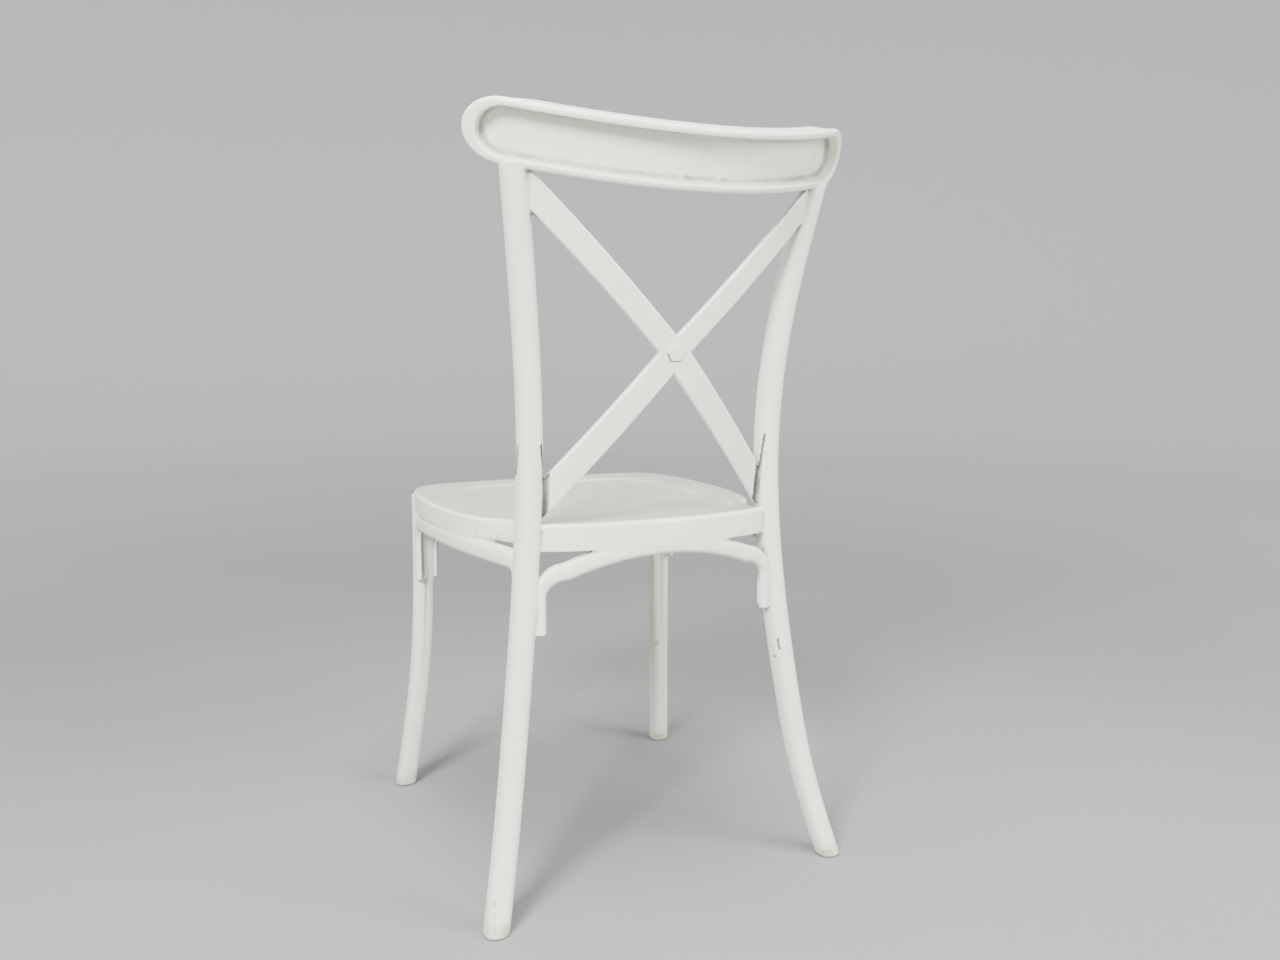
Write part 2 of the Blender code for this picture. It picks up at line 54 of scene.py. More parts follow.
# Legs: stations (height, distance from the middle, place front to rear) of the centre line
REAR_LEG_STATIONS = (
    (0.000, 0.2230, 0.2290),
    (0.100, 0.2007, 0.2040),
    (0.220, 0.1820, 0.1870),
    (0.440, 0.1590, 0.1725),
    (0.540, 0.1560, 0.1740),
    (0.680, 0.1650, 0.1875),
    (0.838, 0.1870, 0.2202),
)
REAR_LEG_WIDTH = 0.0285
REAR_LEG_DEPTH = 0.0305
FRONT_LEG_STATIONS = (
    (0.000, 0.2108, -0.2290),
    (0.100, 0.1998, -0.2086),
    (0.200, 0.1915, -0.1928),
    (0.300, 0.1878, -0.1848),
    (0.438, 0.1868, -0.1820),
)
FRONT_LEG_WIDTH = 0.0280
FRONT_LEG_DEPTH = 0.0280
LEG_SIDES = 36
LEG_SQUARENESS = 2.6
LEG_RING_SPACING = 0.008
FOOT_EDGE = 0.0020

# Seat: half of the plan outline, from the middle of the front edge to that of the rear edge
SEAT_OUTLINE = (
    (0.000, -0.2360),
    (0.090, -0.2375),
    (0.160, -0.2290),
    (0.192, -0.2000),
    (0.2045, -0.1400),
    (0.2080, -0.0700),
    (0.2045, -0.0050),
    (0.1960, 0.0500),
    (0.1820, 0.0860),
    (0.1650, 0.1060),
    (0.1570, 0.1320),
    (0.1540, 0.1640),
    (0.1390, 0.1880),
    (0.0800, 0.2030),
    (0.0000, 0.2100),
)
SEAT_TOP = 0.4450
APRON_DEPTH = 0.0275
SEAT_WALL = 0.0045
SEAT_EDGE_RADIUS = 0.0045
SEAT_EDGE_STEPS = 5
SEAT_POINTS_PER_HALF = 140
PAN_HALF_WIDTH = 0.1560
PAN_FRONT = -0.1900
PAN_REAR = 0.1620
PAN_DEPTH = 0.0030
PAN_SLOPE = 0.0080
PAN_SLOPE_STEPS = 5
PAN_SQUARENESS = 4.5

# The rail behind the seat stands proud of it, with a groove in front
RAIL_PROUD = 0.0042
RAIL_THICKNESS = 0.0075
RAIL_GROOVE_DEPTH = 0.0045
RAIL_GROOVE_WIDTH = 0.0080
RAIL_GROOVE_WALL = 0.0012
RAIL_STARTS_Y = 0.1740
RAIL_FULL_Y = 0.1860

# Hoops: one thin-walled arch between each two neighbouring legs, open towards the middle
HOOP_DEPTH = 0.0235
HOOP_END_DEPTH = 0.0165
HOOP_WIDTH = 0.0165
HOOP_WALL = 0.0040
HOOP_ROUNDING = 0.0078
HOOP_ROUND_STEPS = 8
HOOP_CHANNEL_BEVEL = 0.0022
HOOP_CHANNEL_FLAT = 0.0044
HOOP_SINK_IN_LEG = 0.0090
HOOP_SINK_IN_SEAT = 0.0015
HOOP_FALL_TO_END = 0.0870
HOOP_DROP = 0.0140
HOOP_CORNER_RADIUS = 0.0360
REAR_HOOP_SINK_IN_SEAT = 0.0122
REAR_HOOP_FALL_TO_END = 0.0960
REAR_HOOP_DROP = 0.0245
REAR_HOOP_CORNER_RADIUS = 0.0300
REAR_HOOP_OUTWARD = 0.0018
REAR_HOOP_SET_BACK = 0.0060
SIDE_HOOP_DROP = 0.0020
SIDE_HOOP_FRONT_RADIUS = 0.0300
SIDE_HOOP_REAR_RADIUS = 0.0160
SIDE_HOOP_OUT_AT_FRONT = 0.0070
SIDE_HOOP_IN_AT_REAR = 0.0012
HOOP_SEAT_OVERLAP = 0.0092
SIDE_HOOP_SEAT_OVERLAP = 0.0110
INNER_FLANGE_SHORTER = 0.0160
HOOP_CORNER_STEPS = 16
HOOP_ARCH_STEPS = 40

# Crest rail: a stadium-shaped dish, bent round the sitter and leaning back
CREST_HEIGHT = 0.0665
CREST_HALF_LENGTH = 0.2372
CREST_THICKNESS = 0.0340
CREST_CENTRE_Z = 0.8396
CREST_REAR_Y = 0.3050
CREST_TILT = math.radians(19.5)
CREST_BEND = 1.933
CREST_RIM = 0.0085
CREST_END_RIM = 0.0118
CREST_TIP_THICKNESS = 0.0230
CREST_TAPER_STARTS = 0.7600
CREST_RIM_ROUNDING = 0.0042
CREST_RIM_INNER_ROUNDING = 0.0016
CREST_RIM_STEPS = 6
CREST_RECESS_DEPTH = 0.0180
CREST_RECESS_FILLET = 0.0050
CREST_RECESS_END_FILLET = 0.0110
CREST_TIP_SLIMMER = 0.0070
CREST_FRONT_ROUNDING = 0.0120
CREST_FILLET_STEPS = 7
CREST_STRAIGHT_STEPS = 70
CREST_END_STEPS = 18

# X of the back: a flat plate bowed like the crest, its arms straight seen from behind
BRACE_CROSSING_Z = 0.6410
BRACE_CROSSING_Y = 0.2295
BRACE_LEAN = 0.1674
BRACE_BOW = 1.199
BRACE_UPPER_CURVE = 0.140
BRACE_THICKNESS = 0.0085
UPPER_ARM_WIDTH = 0.0264
UPPER_ARM_SLOPE = 1.0000
UPPER_ARM_REACH = 0.1800
LOWER_ARM_WIDTH = 0.0302
LOWER_ARM_SLOPE = 1.1620
LOWER_ARM_REACH = 0.1490
LOWER_ARM_CUT = 0.1420
ARM_STEPS = 60
ARM_MERGE_DISTANCE = 0.00001

# The raised hexagon at the crossing
BOSS_SIDES = 6
BOSS_ACROSS_CORNERS = 0.0225
BOSS_EDGE = 0.0004
BOSS_PROUD = 0.0016
BOSS_ROOT = 0.0040
BOSS_PLACE = (0.0, 0.1934, 0.6410)
BOSS_HALF_TURN = math.pi / BOSS_SIDES
# The dark line round the hexagon's lower left is a painted shadow of the raised hexagon
BOSS_LINE_WIDTH = 0.0011
BOSS_LINE_CORE = 0.3
BOSS_LINE_LEAN = 0.45
BOSS_LINE_FADES = (0.0030, 0.0070)
BOSS_SHADOW_SHARE = 0.85

# The lower arms' faces end short of the legs, with a sunk strip behind the step
ARM_STEP_X = 0.1350
ARM_STEP_RUN = 0.0010
ARM_STEP_DEPTH = 0.0048
ARM_STEP_HEIGHTS = (0.4520, 0.5400)

# The front legs' inner half is cut back at the rear, less towards the floor
LEG_STRIP_OUTER = 0.0022
LEG_STRIP_RUN = 0.0030
LEG_STRIP_DEPTH = 0.0022
LEG_STRIP_FADES = (0.1000, 0.2900)
LEG_STRIP_TOP = 0.4000
LEG_STRIP_REACH = (0.25, 0.50)
LEG_STRIP_SAMPLES = 81

# Fusing the members into one skin
VOXEL = 0.0015
FILLET_REACH = 0.0030
FILLET_PASSES = 5
EVEN_PASSES = 2
SMOOTH_STEP = 0.50
SMOOTH_BACK = -0.53
MOST_TRIANGLES = 195000

# Where the skin counts as a crease or an edge, as curvature per metre
CREASE_PASSES = 5
EDGE_PASSES = 1
CREASE_STARTS = 46.0
CREASE_FULL = 150.0
EDGE_STARTS = 70.0
EDGE_FULL = 280.0

# Where the skin counts as the top of the seat
SEAT_MARK_HEIGHTS = (0.4375, 0.4468)
SEAT_MARK_UPRIGHT = (0.75, 0.95)

# Where the skin is sheltered: the rays tried from each vertex and how far they reach
SHELTER_RAYS = 26
SHELTER_REACH = 0.0240
SHELTER_LIFT = 0.0006
SHELTER_LEAST_FACING = 0.15
SHELTER_PASSES = 2

# Plastic, grime and marks, and the painted shade, shadows and highlights in its colour
PLASTIC_COLOUR = (0.805, 0.842, 0.698, 1.0)
PLASTIC_COLOUR_COOL = (0.775, 0.820, 0.688, 1.0)
STREAK_COLOUR = (0.640, 0.650, 0.600, 1.0)
# Painted highlight: the pale tone along convex edges
EDGE_HIGHLIGHT_COLOUR = (0.955, 0.965, 0.915, 1.0)
# Painted shade with some dirt: the darker tone of the seat's top
SEAT_SHADE_AND_DIRT_COLOUR = (0.400, 0.413, 0.360, 1.0)
# Painted shade: the dark tone mixed into creases, where there is some grime too, and into sheltered
# hollows
SHADE_AND_GRIME_COLOUR = (0.120, 0.118, 0.100, 1.0)
FOOT_GRIME_COLOUR = (0.420, 0.400, 0.240, 1.0)
# Painted contact shadow: the dark tone at the very bottom of the feet
SOLE_SHADOW_COLOUR = (0.100, 0.095, 0.080, 1.0)
# Dark tone of the real nicks in the post, also used for the painted shadow round the hexagon
NICK_AND_SHADOW_COLOUR = (0.150, 0.145, 0.120, 1.0)
HALO_COLOUR = (0.900, 0.905, 0.880, 1.0)
SMUDGE_COLOUR = (0.400, 0.395, 0.340, 1.0)
SPOT_NOISE_SCALE = 380.0
SPOT_RAGGEDNESS = 0.5
SPOT_CORE = 0.55
CLOUD_SCALE = 6.0
CLOUD_BAND = (0.30, 0.70)
STREAK_STRETCH = (150.0, 150.0, 5.0)
STREAK_BAND = (0.45, 0.75)
STREAK_SHARE = 0.22
FINE_SCALE = 420.0
FINE_BAND = (0.55, 0.80)
FINE_SHARE = 0.10
EDGE_HIGHLIGHT_SHARE = 0.80
PATCH_SCALE = 38.0
PATCH_BAND = (0.25, 0.75)
CREASE_LEAST = 0.55
CREASE_SHARE = 0.80
SHELTER_BAND = (0.05, 0.46)
SHELTER_SHARE = 0.80
SEAT_SHADE_LEAST = 0.75
SEAT_SHADE_SHARE = 0.85
FOOT_WAVE_SCALE = 70.0
FOOT_WAVE_HEIGHT = 0.016
FOOT_BAND = (0.036, 0.012)
FOOT_LEAST = 0.35
FOOT_SHARE = 0.62
SOLE_SHADOW_BAND = (0.0045, 0.0005)
SOLE_SHADOW_SHARE = 0.75
ROUGHNESS_CLEAN = 0.31
ROUGHNESS_CLOUDY = 0.08
ROUGHNESS_DIRTY = 0.25
BUMP_STRENGTH = 0.10
BUMP_DISTANCE = 0.0006
BUMP_WAVE_SCALE = 45.0
BUMP_GRAIN_SCALE = 900.0
BUMP_GRAIN_SHARE = 0.25
# Each mark: its place, its reach along each axis, its strength and its colour
MARKS = (
    ((-0.1665, 0.1590, 0.2730), (0.0060, 0.0060, 0.0140), 0.70, HALO_COLOUR),
    ((-0.1650, 0.1578, 0.2792), (0.0018, 0.0050, 0.0042), 1.00, NICK_AND_SHADOW_COLOUR),
    ((-0.1655, 0.1584, 0.2745), (0.0016, 0.0050, 0.0042), 1.00, NICK_AND_SHADOW_COLOUR),
    ((-0.1666, 0.1591, 0.2700), (0.0020, 0.0050, 0.0036), 1.00, NICK_AND_SHADOW_COLOUR),
    ((-0.1637, 0.1535, 0.2580), (0.0044, 0.0030, 0.0019), 0.95, NICK_AND_SHADOW_COLOUR),
    ((-0.1848, -0.2197, 0.1759), (0.0044, 0.0060, 0.0048), 0.75, SMUDGE_COLOUR),
    ((-0.1888, -0.2240, 0.1448), (0.0036, 0.0060, 0.0030), 0.40, SMUDGE_COLOUR),
    ((-0.2025, -0.2504, 0.0085), (0.0120, 0.0080, 0.0060), 0.75, FOOT_GRIME_COLOUR),
    ((-0.2125, 0.2042, 0.0068), (0.0140, 0.0080, 0.0055), 0.75, FOOT_GRIME_COLOUR),
    ((0.2113, -0.2457, 0.0268), (0.0100, 0.0060, 0.0016), 0.60, SMUDGE_COLOUR),
    ((0.2243, 0.1950, 0.0370), (0.0011, 0.0040, 0.0062), 0.85, SMUDGE_COLOUR),
    ((0.2256, 0.1985, 0.0255), (0.0011, 0.0040, 0.0052), 0.85, SMUDGE_COLOUR),
    ((0.2272, 0.2030, 0.0120), (0.0012, 0.0040, 0.0070), 0.85, SMUDGE_COLOUR),
    ((0.2147, 0.2059, 0.0060), (0.0090, 0.0060, 0.0110), 0.80, FOOT_GRIME_COLOUR),
)

# Stage, and the lights: name, place, size and power
STAGE_RADIUS = 4.2
STAGE_SWEEP = 1.6
STAGE_WALL_TOP = 4.5
STAGE_SIDES = 96
STAGE_SWEEP_STEPS = 16
STAGE_COLOUR = (0.275, 0.271, 0.273, 1.0)
STAGE_COLOUR_DARK = (0.240, 0.236, 0.238, 1.0)
STAGE_WALL_COLOUR = (0.640, 0.634, 0.636, 1.0)
STAGE_RISE_PER_METRE = 0.50
STAGE_BLEND = (0.60, 2.20)
STAGE_UNEVEN_SCALE = 1.3
STAGE_UNEVEN_BAND = (0.25, 0.75)
STAGE_GRAIN_SCALE = 160.0
STAGE_GRAIN_BAND = (0.30, 0.70)
STAGE_ROUGHNESS = 0.85
LIGHTS = (
    ("key", (2.1, 2.0, 2.2), 0.9, 265.0),
    ("fill", (-1.8, 2.3, 1.7), 1.4, 125.0),
    ("top", (0.2, 0.6, 3.2), 1.3, 130.0),
)
LIGHT_TARGET = (0.0, 0.0, 0.45)
WORLD_COLOUR = (0.96, 0.97, 1.0, 1.0)
WORLD_STRENGTH = 0.48

# Camera: fitted to the photograph
PHOTO_WIDTH = 1280
CAMERA_PLACE = (0.5786, 1.2934, 0.6622)
CAMERA_AZIMUTH = math.radians(25.86)
CAMERA_DOWN = math.radians(7.58)
FOCAL_PIXELS = 1099.7
SENSOR_WIDTH = 36.0
NEAREST_SEEN = 0.01


def spline_through(stations):
    """A natural cubic curve through stations (t, x, y), as a function of t."""
    table = np.array(stations, dtype=float)
    t = table[:, 0]
    values = table[:, 1:]
    count = len(t)
    step = np.diff(t)
    system = np.zeros((count, count))
    target = np.zeros((count, values.shape[1]))
    system[0, 0] = 1.0
    system[-1, -1] = 1.0
    for i in range(1, count - 1):
        system[i, i - 1] = step[i - 1]
        system[i, i] = 2.0 * (step[i - 1] + step[i])
        system[i, i + 1] = step[i]
        rise_before = (values[i] - values[i - 1]) / step[i - 1]
        rise_after = (values[i + 1] - values[i]) / step[i]
        target[i] = 6.0 * (rise_after - rise_before)
    second = np.linalg.solve(system, target)

    def at(where):
        i = int(np.clip(np.searchsorted(t, where) - 1, 0, count - 2))
        h = step[i]
        a = (t[i + 1] - where) / h
        b = (where - t[i]) / h
        bend = ((a**3 - a) * second[i] + (b**3 - b) * second[i + 1]) * h * h / 6.0
        return a * values[i] + b * values[i + 1] + bend

    return at


def smoothstep(low, high, value):
    """0 below low, 1 above high, and a soft rise between them."""
    share = np.clip((value - low) / (high - low), 0.0, 1.0)
    return share * share * (3.0 - 2.0 * share)


def add_object(name, bm):
    """Turns a bmesh into an object with its faces pointing out."""
    bmesh.ops.recalc_face_normals(bm, faces=bm.faces[:])
    mesh = bpy.data.meshes.new(name)
    bm.to_mesh(mesh)
    bm.free()
    obj = bpy.data.objects.new(name, mesh)
    bpy.context.scene.collection.objects.link(obj)
    return obj


def bridge_rings(bm, rings):
    """Joins closed rings of equal count with quads and returns their vertices."""
    layers = [[bm.verts.new(point) for point in ring] for ring in rings]
    for lower, upper in zip(layers, layers[1:]):
        count = len(lower)
        for i in range(count):
            j = (i + 1) % count
            bm.faces.new((lower[i], lower[j], upper[j], upper[i]))
    return layers


def loft(name, rings):
    """A closed solid through rings, capped at both ends."""
    bm = bmesh.new()
    layers = bridge_rings(bm, rings)
    bm.faces.new(layers[0])
    bm.faces.new(layers[-1])
    return add_object(name, bm)


def rounded_ring(centre, width, depth, sides, squareness):
    """A level ring of points: an ellipse for squareness 2, nearer a rectangle above it."""
    ring = []
    for i in range(sides):
        turn = 2.0 * math.pi * (i + 0.5) / sides
        c = math.cos(turn)
        s = math.sin(turn)
        reach = (abs(c) ** squareness + abs(s) ** squareness) ** (-1.0 / squareness)
        ring.append(centre + Vector((0.5 * width * reach * c, 0.5 * depth * reach * s, 0.0)))
    return ring


def make_leg(name, side, stations, width, depth):
    """A leg with level sections along its curve; its foot has a small rounded edge."""
    curve = spline_through(stations)
    top = stations[-1][0]
    count = math.ceil(top / LEG_RING_SPACING)
    heights = [0.0, FOOT_EDGE] + [top * (i + 1) / count for i in range(count)]
    sections = []
    for height in heights:
        x, y = curve(height)
        narrower = 2.0 * FOOT_EDGE if height == 0.0 else 0.0
        centre = Vector((side * x, y, height))
        sections.append(
            rounded_ring(centre, width - narrower, depth - narrower, LEG_SIDES, LEG_SQUARENESS)
        )
    return loft(name, sections)


def seat_outline():
    """The whole plan outline of the seat as (x, y) rows, starting at the front."""
    numbered = list(enumerate(SEAT_OUTLINE))
    last = len(SEAT_OUTLINE) - 1
    # Mirrored neighbours at both ends keep the outline square to the middle line.
    before = [(-i, -x, y) for i, (x, y) in numbered[2:0:-1]]
    after = [(2 * last - i, -x, y) for i, (x, y) in numbered[-2:-4:-1]]
    curve = spline_through(before + [(i, x, y) for i, (x, y) in numbered] + after)
    half = [curve(last * i / SEAT_POINTS_PER_HALF) for i in range(SEAT_POINTS_PER_HALF + 1)]
    mirrored = [(-x, y) for x, y in half[-2:0:-1]]
    return np.array([tuple(point) for point in half] + mirrored)


def inset_outline(points, distance):
    """The closed outline moved inwards by the distance, square to itself."""
    along = np.roll(points, -1, axis=0) - np.roll(points, 1, axis=0)
    along /= np.linalg.norm(along, axis=1)[:, None]
    inward = np.stack((-along[:, 1], along[:, 0]), axis=1)
    return points + inward * np.reshape(distance, (-1, 1))


def pan_outline(points, inset):
    """The edge of the shallow pan, point for point along the rays to the seat's outline."""
    middle = 0.5 * (PAN_FRONT + PAN_REAR)
    half_depth = 0.5 * (PAN_REAR - PAN_FRONT) - inset
    half_width = PAN_HALF_WIDTH - inset
    turn = np.arctan2(points[:, 1] - middle, points[:, 0])
    across = np.abs(np.cos(turn) / half_width) ** PAN_SQUARENESS
    along = np.abs(np.sin(turn) / half_depth) ** PAN_SQUARENESS
    reach = (across + along) ** (-1.0 / PAN_SQUARENESS)
    return np.stack((reach * np.cos(turn), middle + reach * np.sin(turn)), axis=1)


def make_seat():
    """The seat: a shell with an apron, a shallow pan, and a proud rail along its rear."""
    outline = seat_outline()
    rear = smoothstep(RAIL_STARTS_Y, RAIL_FULL_Y, outline[:, 1])
    top = SEAT_TOP + RAIL_PROUD * rear
    groove = SEAT_TOP - RAIL_GROOVE_DEPTH * rear
    apron_bottom = SEAT_TOP - APRON_DEPTH
    ceiling = SEAT_TOP - PAN_DEPTH - SEAT_WALL
    radius = SEAT_EDGE_RADIUS

    def level(points, heights):
        heights = np.broadcast_to(heights, (len(points),))
        return [Vector((x, y, z)) for (x, y), z in zip(points, heights)]

    inner = inset_outline(outline, SEAT_WALL)
    rings = [level(inner, ceiling), level(inner, apron_bottom), level(outline, apron_bottom)]
    for i in range(SEAT_EDGE_STEPS + 1):
        turn = 0.5 * math.pi * i / SEAT_EDGE_STEPS
        edge = inset_outline(outline, radius * (1.0 - math.cos(turn)))
        rings.append(level(edge, top - radius * (1.0 - math.sin(turn))))
    inset = RAIL_THICKNESS
    rings.append(level(inset_outline(outline, inset), top))
    inset += RAIL_GROOVE_WALL
    rings.append(level(inset_outline(outline, inset), groove))
    inset += RAIL_GROOVE_WIDTH
    rings.append(level(inset_outline(outline, inset), groove))
    inset += RAIL_GROOVE_WALL
    rings.append(level(inset_outline(outline, inset), SEAT_TOP))
    for i in range(PAN_SLOPE_STEPS + 1):
        share = i / PAN_SLOPE_STEPS
        drop = PAN_DEPTH * float(smoothstep(0.0, 1.0, share))
        rings.append(level(pan_outline(outline, PAN_SLOPE * share), SEAT_TOP - drop))
    return loft("seat", rings)


def channel_profile():
    """Section of a hoop as (outwards, across), open towards the middle of the chair.

    The wall that faces out of the chair has the positive across. It is rounded at both its
    edges, and the flange opposite it is only a lip.
    """
    half_depth = 0.5 * HOOP_DEPTH
    half_width = 0.5 * HOOP_WIDTH
    inner_half = half_width - HOOP_WALL
    ceiling = half_depth - HOOP_WALL
    lip_end = HOOP_WALL - half_depth
    r = HOOP_ROUNDING
    profile = [
        (lip_end, half_width - r),
        (lip_end + HOOP_CHANNEL_BEVEL, inner_half),
        (ceiling - HOOP_CHANNEL_BEVEL, inner_half),
        (ceiling, 0.5 * HOOP_CHANNEL_FLAT),
        (ceiling, -0.5 * HOOP_CHANNEL_FLAT),
        (ceiling - HOOP_CHANNEL_BEVEL, -inner_half),
        (INNER_FLANGE_SHORTER - half_depth, -inner_half),
        (INNER_FLANGE_SHORTER - half_depth, -half_width),
    ]
    for out_way, across_way in ((1.0, -1.0), (1.0, 1.0), (-1.0, 1.0)):
        for i in range(HOOP_ROUND_STEPS + 1):
            step = i if out_way * across_way < 0.0 else HOOP_ROUND_STEPS - i
            turn = 0.5 * math.pi * step / HOOP_ROUND_STEPS
            out = out_way * (half_depth - r + r * math.sin(turn))
            across = across_way * (half_width - r + r * math.cos(turn))
            profile.append((out, across))
    return profile


def hoop_half(half, crown, end_height, drop, radius):
    """Half an arch from its end to its middle: (distance along, height, outward turn)."""
    shoulder = half - radius
    fall = drop / shoulder**2
    tilt = math.atan(2.0 * fall * shoulder)
    centre_z = crown - drop - radius * math.cos(tilt)
    centre_a = shoulder - radius * math.sin(tilt)
    stretch = (half - centre_a) / radius
    line = [(half, end_height, 0.5 * math.pi)]
    line.append((half, 0.5 * (end_height + centre_z), 0.5 * math.pi))
    for i in range(HOOP_CORNER_STEPS):
        turn = 0.5 * math.pi + (tilt - 0.5 * math.pi) * i / HOOP_CORNER_STEPS
        along = centre_a + stretch * radius * math.sin(turn)
        line.append((along, centre_z + radius * math.cos(turn), turn))
    for i in range(HOOP_ARCH_STEPS // 2 + 1):
        along = shoulder * (1.0 - 2.0 * i / HOOP_ARCH_STEPS)
        line.append((along, crown - fall * along**2, math.atan(2.0 * fall * along)))
    return line


def hoop_centre_line(start, end, crown, end_height, drop, radii):
    """An arch in the (along, height) plane, as points with their outward directions.

    It rises along one leg, turns through a rounded corner, crosses in a shallow arc that
    drops from its crown to the corners, and comes down at the other leg.
    """
    middle = 0.5 * (start + end)
    half = 0.5 * (end - start)
    first, last = (hoop_half(half, crown, end_height, drop, radius) for radius in radii)
    falling = [(middle + a, z, turn) for a, z, turn in last]
    rising = [(middle - a, z, -turn) for a, z, turn in first[-2::-1]]
    return falling + rising


def make_hoop(name, line, place):
    """A hoop along its line; place(along, height) gives the point and the directions there."""
    rings = []
    for along, height, turn in line:
        point, along_direction, across_direction = place(along, height)
        outward = along_direction * math.sin(turn) + Vector((0.0, 0.0, math.cos(turn)))
        outward *= 1.0 - (1.0 - HOOP_END_DEPTH / HOOP_DEPTH) * abs(turn) / (0.5 * math.pi)
        rings.append([point + outward * o + across_direction * a for o, a in channel_profile()])
    return loft(name, rings)


def bowed_place(axis, ends, middle_offset):
    """Places a hoop along one axis, bowed sideways through three given offsets.

    The across direction is the level one that points out of the chair.
    """
    (first, first_offset), (last, last_offset) = ends
    centre = 0.5 * (first + last)
    fit = np.polyfit((first, centre, last), (first_offset, middle_offset, last_offset), 2)
    slope = np.polyder(fit)

    def place(along, height):
        offset = float(np.polyval(fit, along))
        lean = float(np.polyval(slope, along))
        if axis == "x":
            direction = Vector((1.0, lean, 0.0)).normalized()
            point = Vector((along, offset, height))
        else:
            direction = Vector((lean, 1.0, 0.0)).normalized()
            point = Vector((offset, along, height))
        across = Vector((-direction.y, direction.x, 0.0))
        if across.dot(point) < 0.0:
            across.negate()
        return point, direction, across

    return place


def make_hoops():
    """The four hoops, each from leg to leg, bowed out to run under the seat's apron."""
    apron_bottom = SEAT_TOP - APRON_DEPTH
    height = apron_bottom - HOOP_DROP - HOOP_CORNER_RADIUS
    rear_x, rear_y = spline_through(REAR_LEG_STATIONS)(height)
    front_x, front_y = spline_through(FRONT_LEG_STATIONS)(height)
    stand_off = 0.5 * HOOP_DEPTH - HOOP_SINK_IN_LEG
    rear_end = rear_x - 0.5 * REAR_LEG_WIDTH - stand_off + REAR_HOOP_OUTWARD
    front_end = front_x - 0.5 * FRONT_LEG_WIDTH - stand_off
    side_rear = rear_y - 0.5 * REAR_LEG_DEPTH - stand_off
    side_front = front_y + 0.5 * FRONT_LEG_DEPTH + stand_off
    seat_rear = SEAT_OUTLINE[-1][1]
    seat_front = SEAT_OUTLINE[0][1]
    seat_side = max(x for x, y in SEAT_OUTLINE)
    hoops = []
    crown = apron_bottom + REAR_HOOP_SINK_IN_SEAT - 0.5 * HOOP_DEPTH
    radii = (REAR_HOOP_CORNER_RADIUS, REAR_HOOP_CORNER_RADIUS)
    end_height = crown - REAR_HOOP_FALL_TO_END
    line = hoop_centre_line(-rear_end, rear_end, crown, end_height, REAR_HOOP_DROP, radii)
    set_y = rear_y + REAR_HOOP_SET_BACK
    ends = ((-rear_end, set_y), (rear_end, set_y))
    hoops.append(make_hoop("rear_hoop", line, bowed_place("x", ends, seat_rear - HOOP_SEAT_OVERLAP)))
    crown = apron_bottom + HOOP_SINK_IN_SEAT - 0.5 * HOOP_DEPTH
    radii = (HOOP_CORNER_RADIUS, HOOP_CORNER_RADIUS)
    end_height = crown - HOOP_FALL_TO_END
    line = hoop_centre_line(-front_end, front_end, crown, end_height, HOOP_DROP, radii)
    ends = ((-front_end, front_y), (front_end, front_y))
    hoops.append(make_hoop("front_hoop", line, bowed_place("x", ends, seat_front + HOOP_SEAT_OVERLAP)))
    radii = (SIDE_HOOP_FRONT_RADIUS, SIDE_HOOP_REAR_RADIUS)
    line = hoop_centre_line(side_front, side_rear, crown, end_height, SIDE_HOOP_DROP, radii)
    for side in (-1.0, 1.0):
        front_offset = side * (front_x + SIDE_HOOP_OUT_AT_FRONT)
        rear_offset = side * (rear_x - SIDE_HOOP_IN_AT_REAR)
        ends = ((side_front, front_offset), (side_rear, rear_offset))
        place = bowed_place("y", ends, side * (seat_side - SIDE_HOOP_SEAT_OVERLAP))
        hoops.append(make_hoop("side_hoop", line, place))
    return hoops


def stadium(half_length, radius):
    """Pairs of points (along, half height) from one end to the other, ends rounded."""
    straight = half_length - radius
    pairs = []
    for i in range(1, CREST_END_STEPS + 1):
        turn = 0.5 * math.pi * i / CREST_END_STEPS
        pairs.append((straight + radius * math.cos(turn), radius * math.sin(turn)))
    for i in range(1, CREST_STRAIGHT_STEPS):
        pairs.append((straight * (1.0 - 2.0 * i / CREST_STRAIGHT_STEPS), radius))
    return pairs + [(-along, up) for along, up in pairs[CREST_END_STEPS - 1 :: -1]]


def crest_point(along, up, depth):
    """A point of the crest: along its length, up its height, and depth in from its rear."""
    slope = 2.0 * CREST_BEND * along
    length = math.hypot(1.0, slope)
    x = along - depth * slope / length
    rearward = -CREST_BEND * along**2 - depth / length
    y = CREST_REAR_Y + rearward * math.cos(CREST_TILT) + up * math.sin(CREST_TILT)
    z = CREST_CENTRE_Z - rearward * math.sin(CREST_TILT) + up * math.cos(CREST_TILT)
    return Vector((x, y, z))


def tapered_depth(along, depth):
    """The depth of a point that lies behind the recess, less towards the crest's tips."""
    if depth <= CREST_RECESS_DEPTH:
        return depth
    share = float(smoothstep(CREST_TAPER_STARTS, 1.0, abs(along) / CREST_HALF_LENGTH))
    return depth - (CREST_THICKNESS - CREST_TIP_THICKNESS) * share


def crest_ring(inset, end_inset, depth):
    """A closed loop of the crest: the stadium inset from its edges and ends, at a depth."""
    tip = CREST_HALF_LENGTH - end_inset
    pairs = stadium(tip, 0.5 * CREST_HEIGHT - inset)
    pairs = [(tip, 0.0)] + pairs + [(-tip, 0.0)] + [(along, -up) for along, up in pairs[::-1]]
    behind = float(smoothstep(CREST_RIM_ROUNDING, CREST_RECESS_DEPTH, depth))
    if inset >= CREST_RIM:
        behind = 0.0
    ring = []
    for along, up in pairs:
        share = float(smoothstep(CREST_TAPER_STARTS, 1.0, abs(along) / CREST_HALF_LENGTH))
        slimmer = 1.0 - 2.0 * CREST_TIP_SLIMMER / CREST_HEIGHT * behind * share
        ring.append(crest_point(along, up * slimmer, tapered_depth(along, depth)))
    return ring


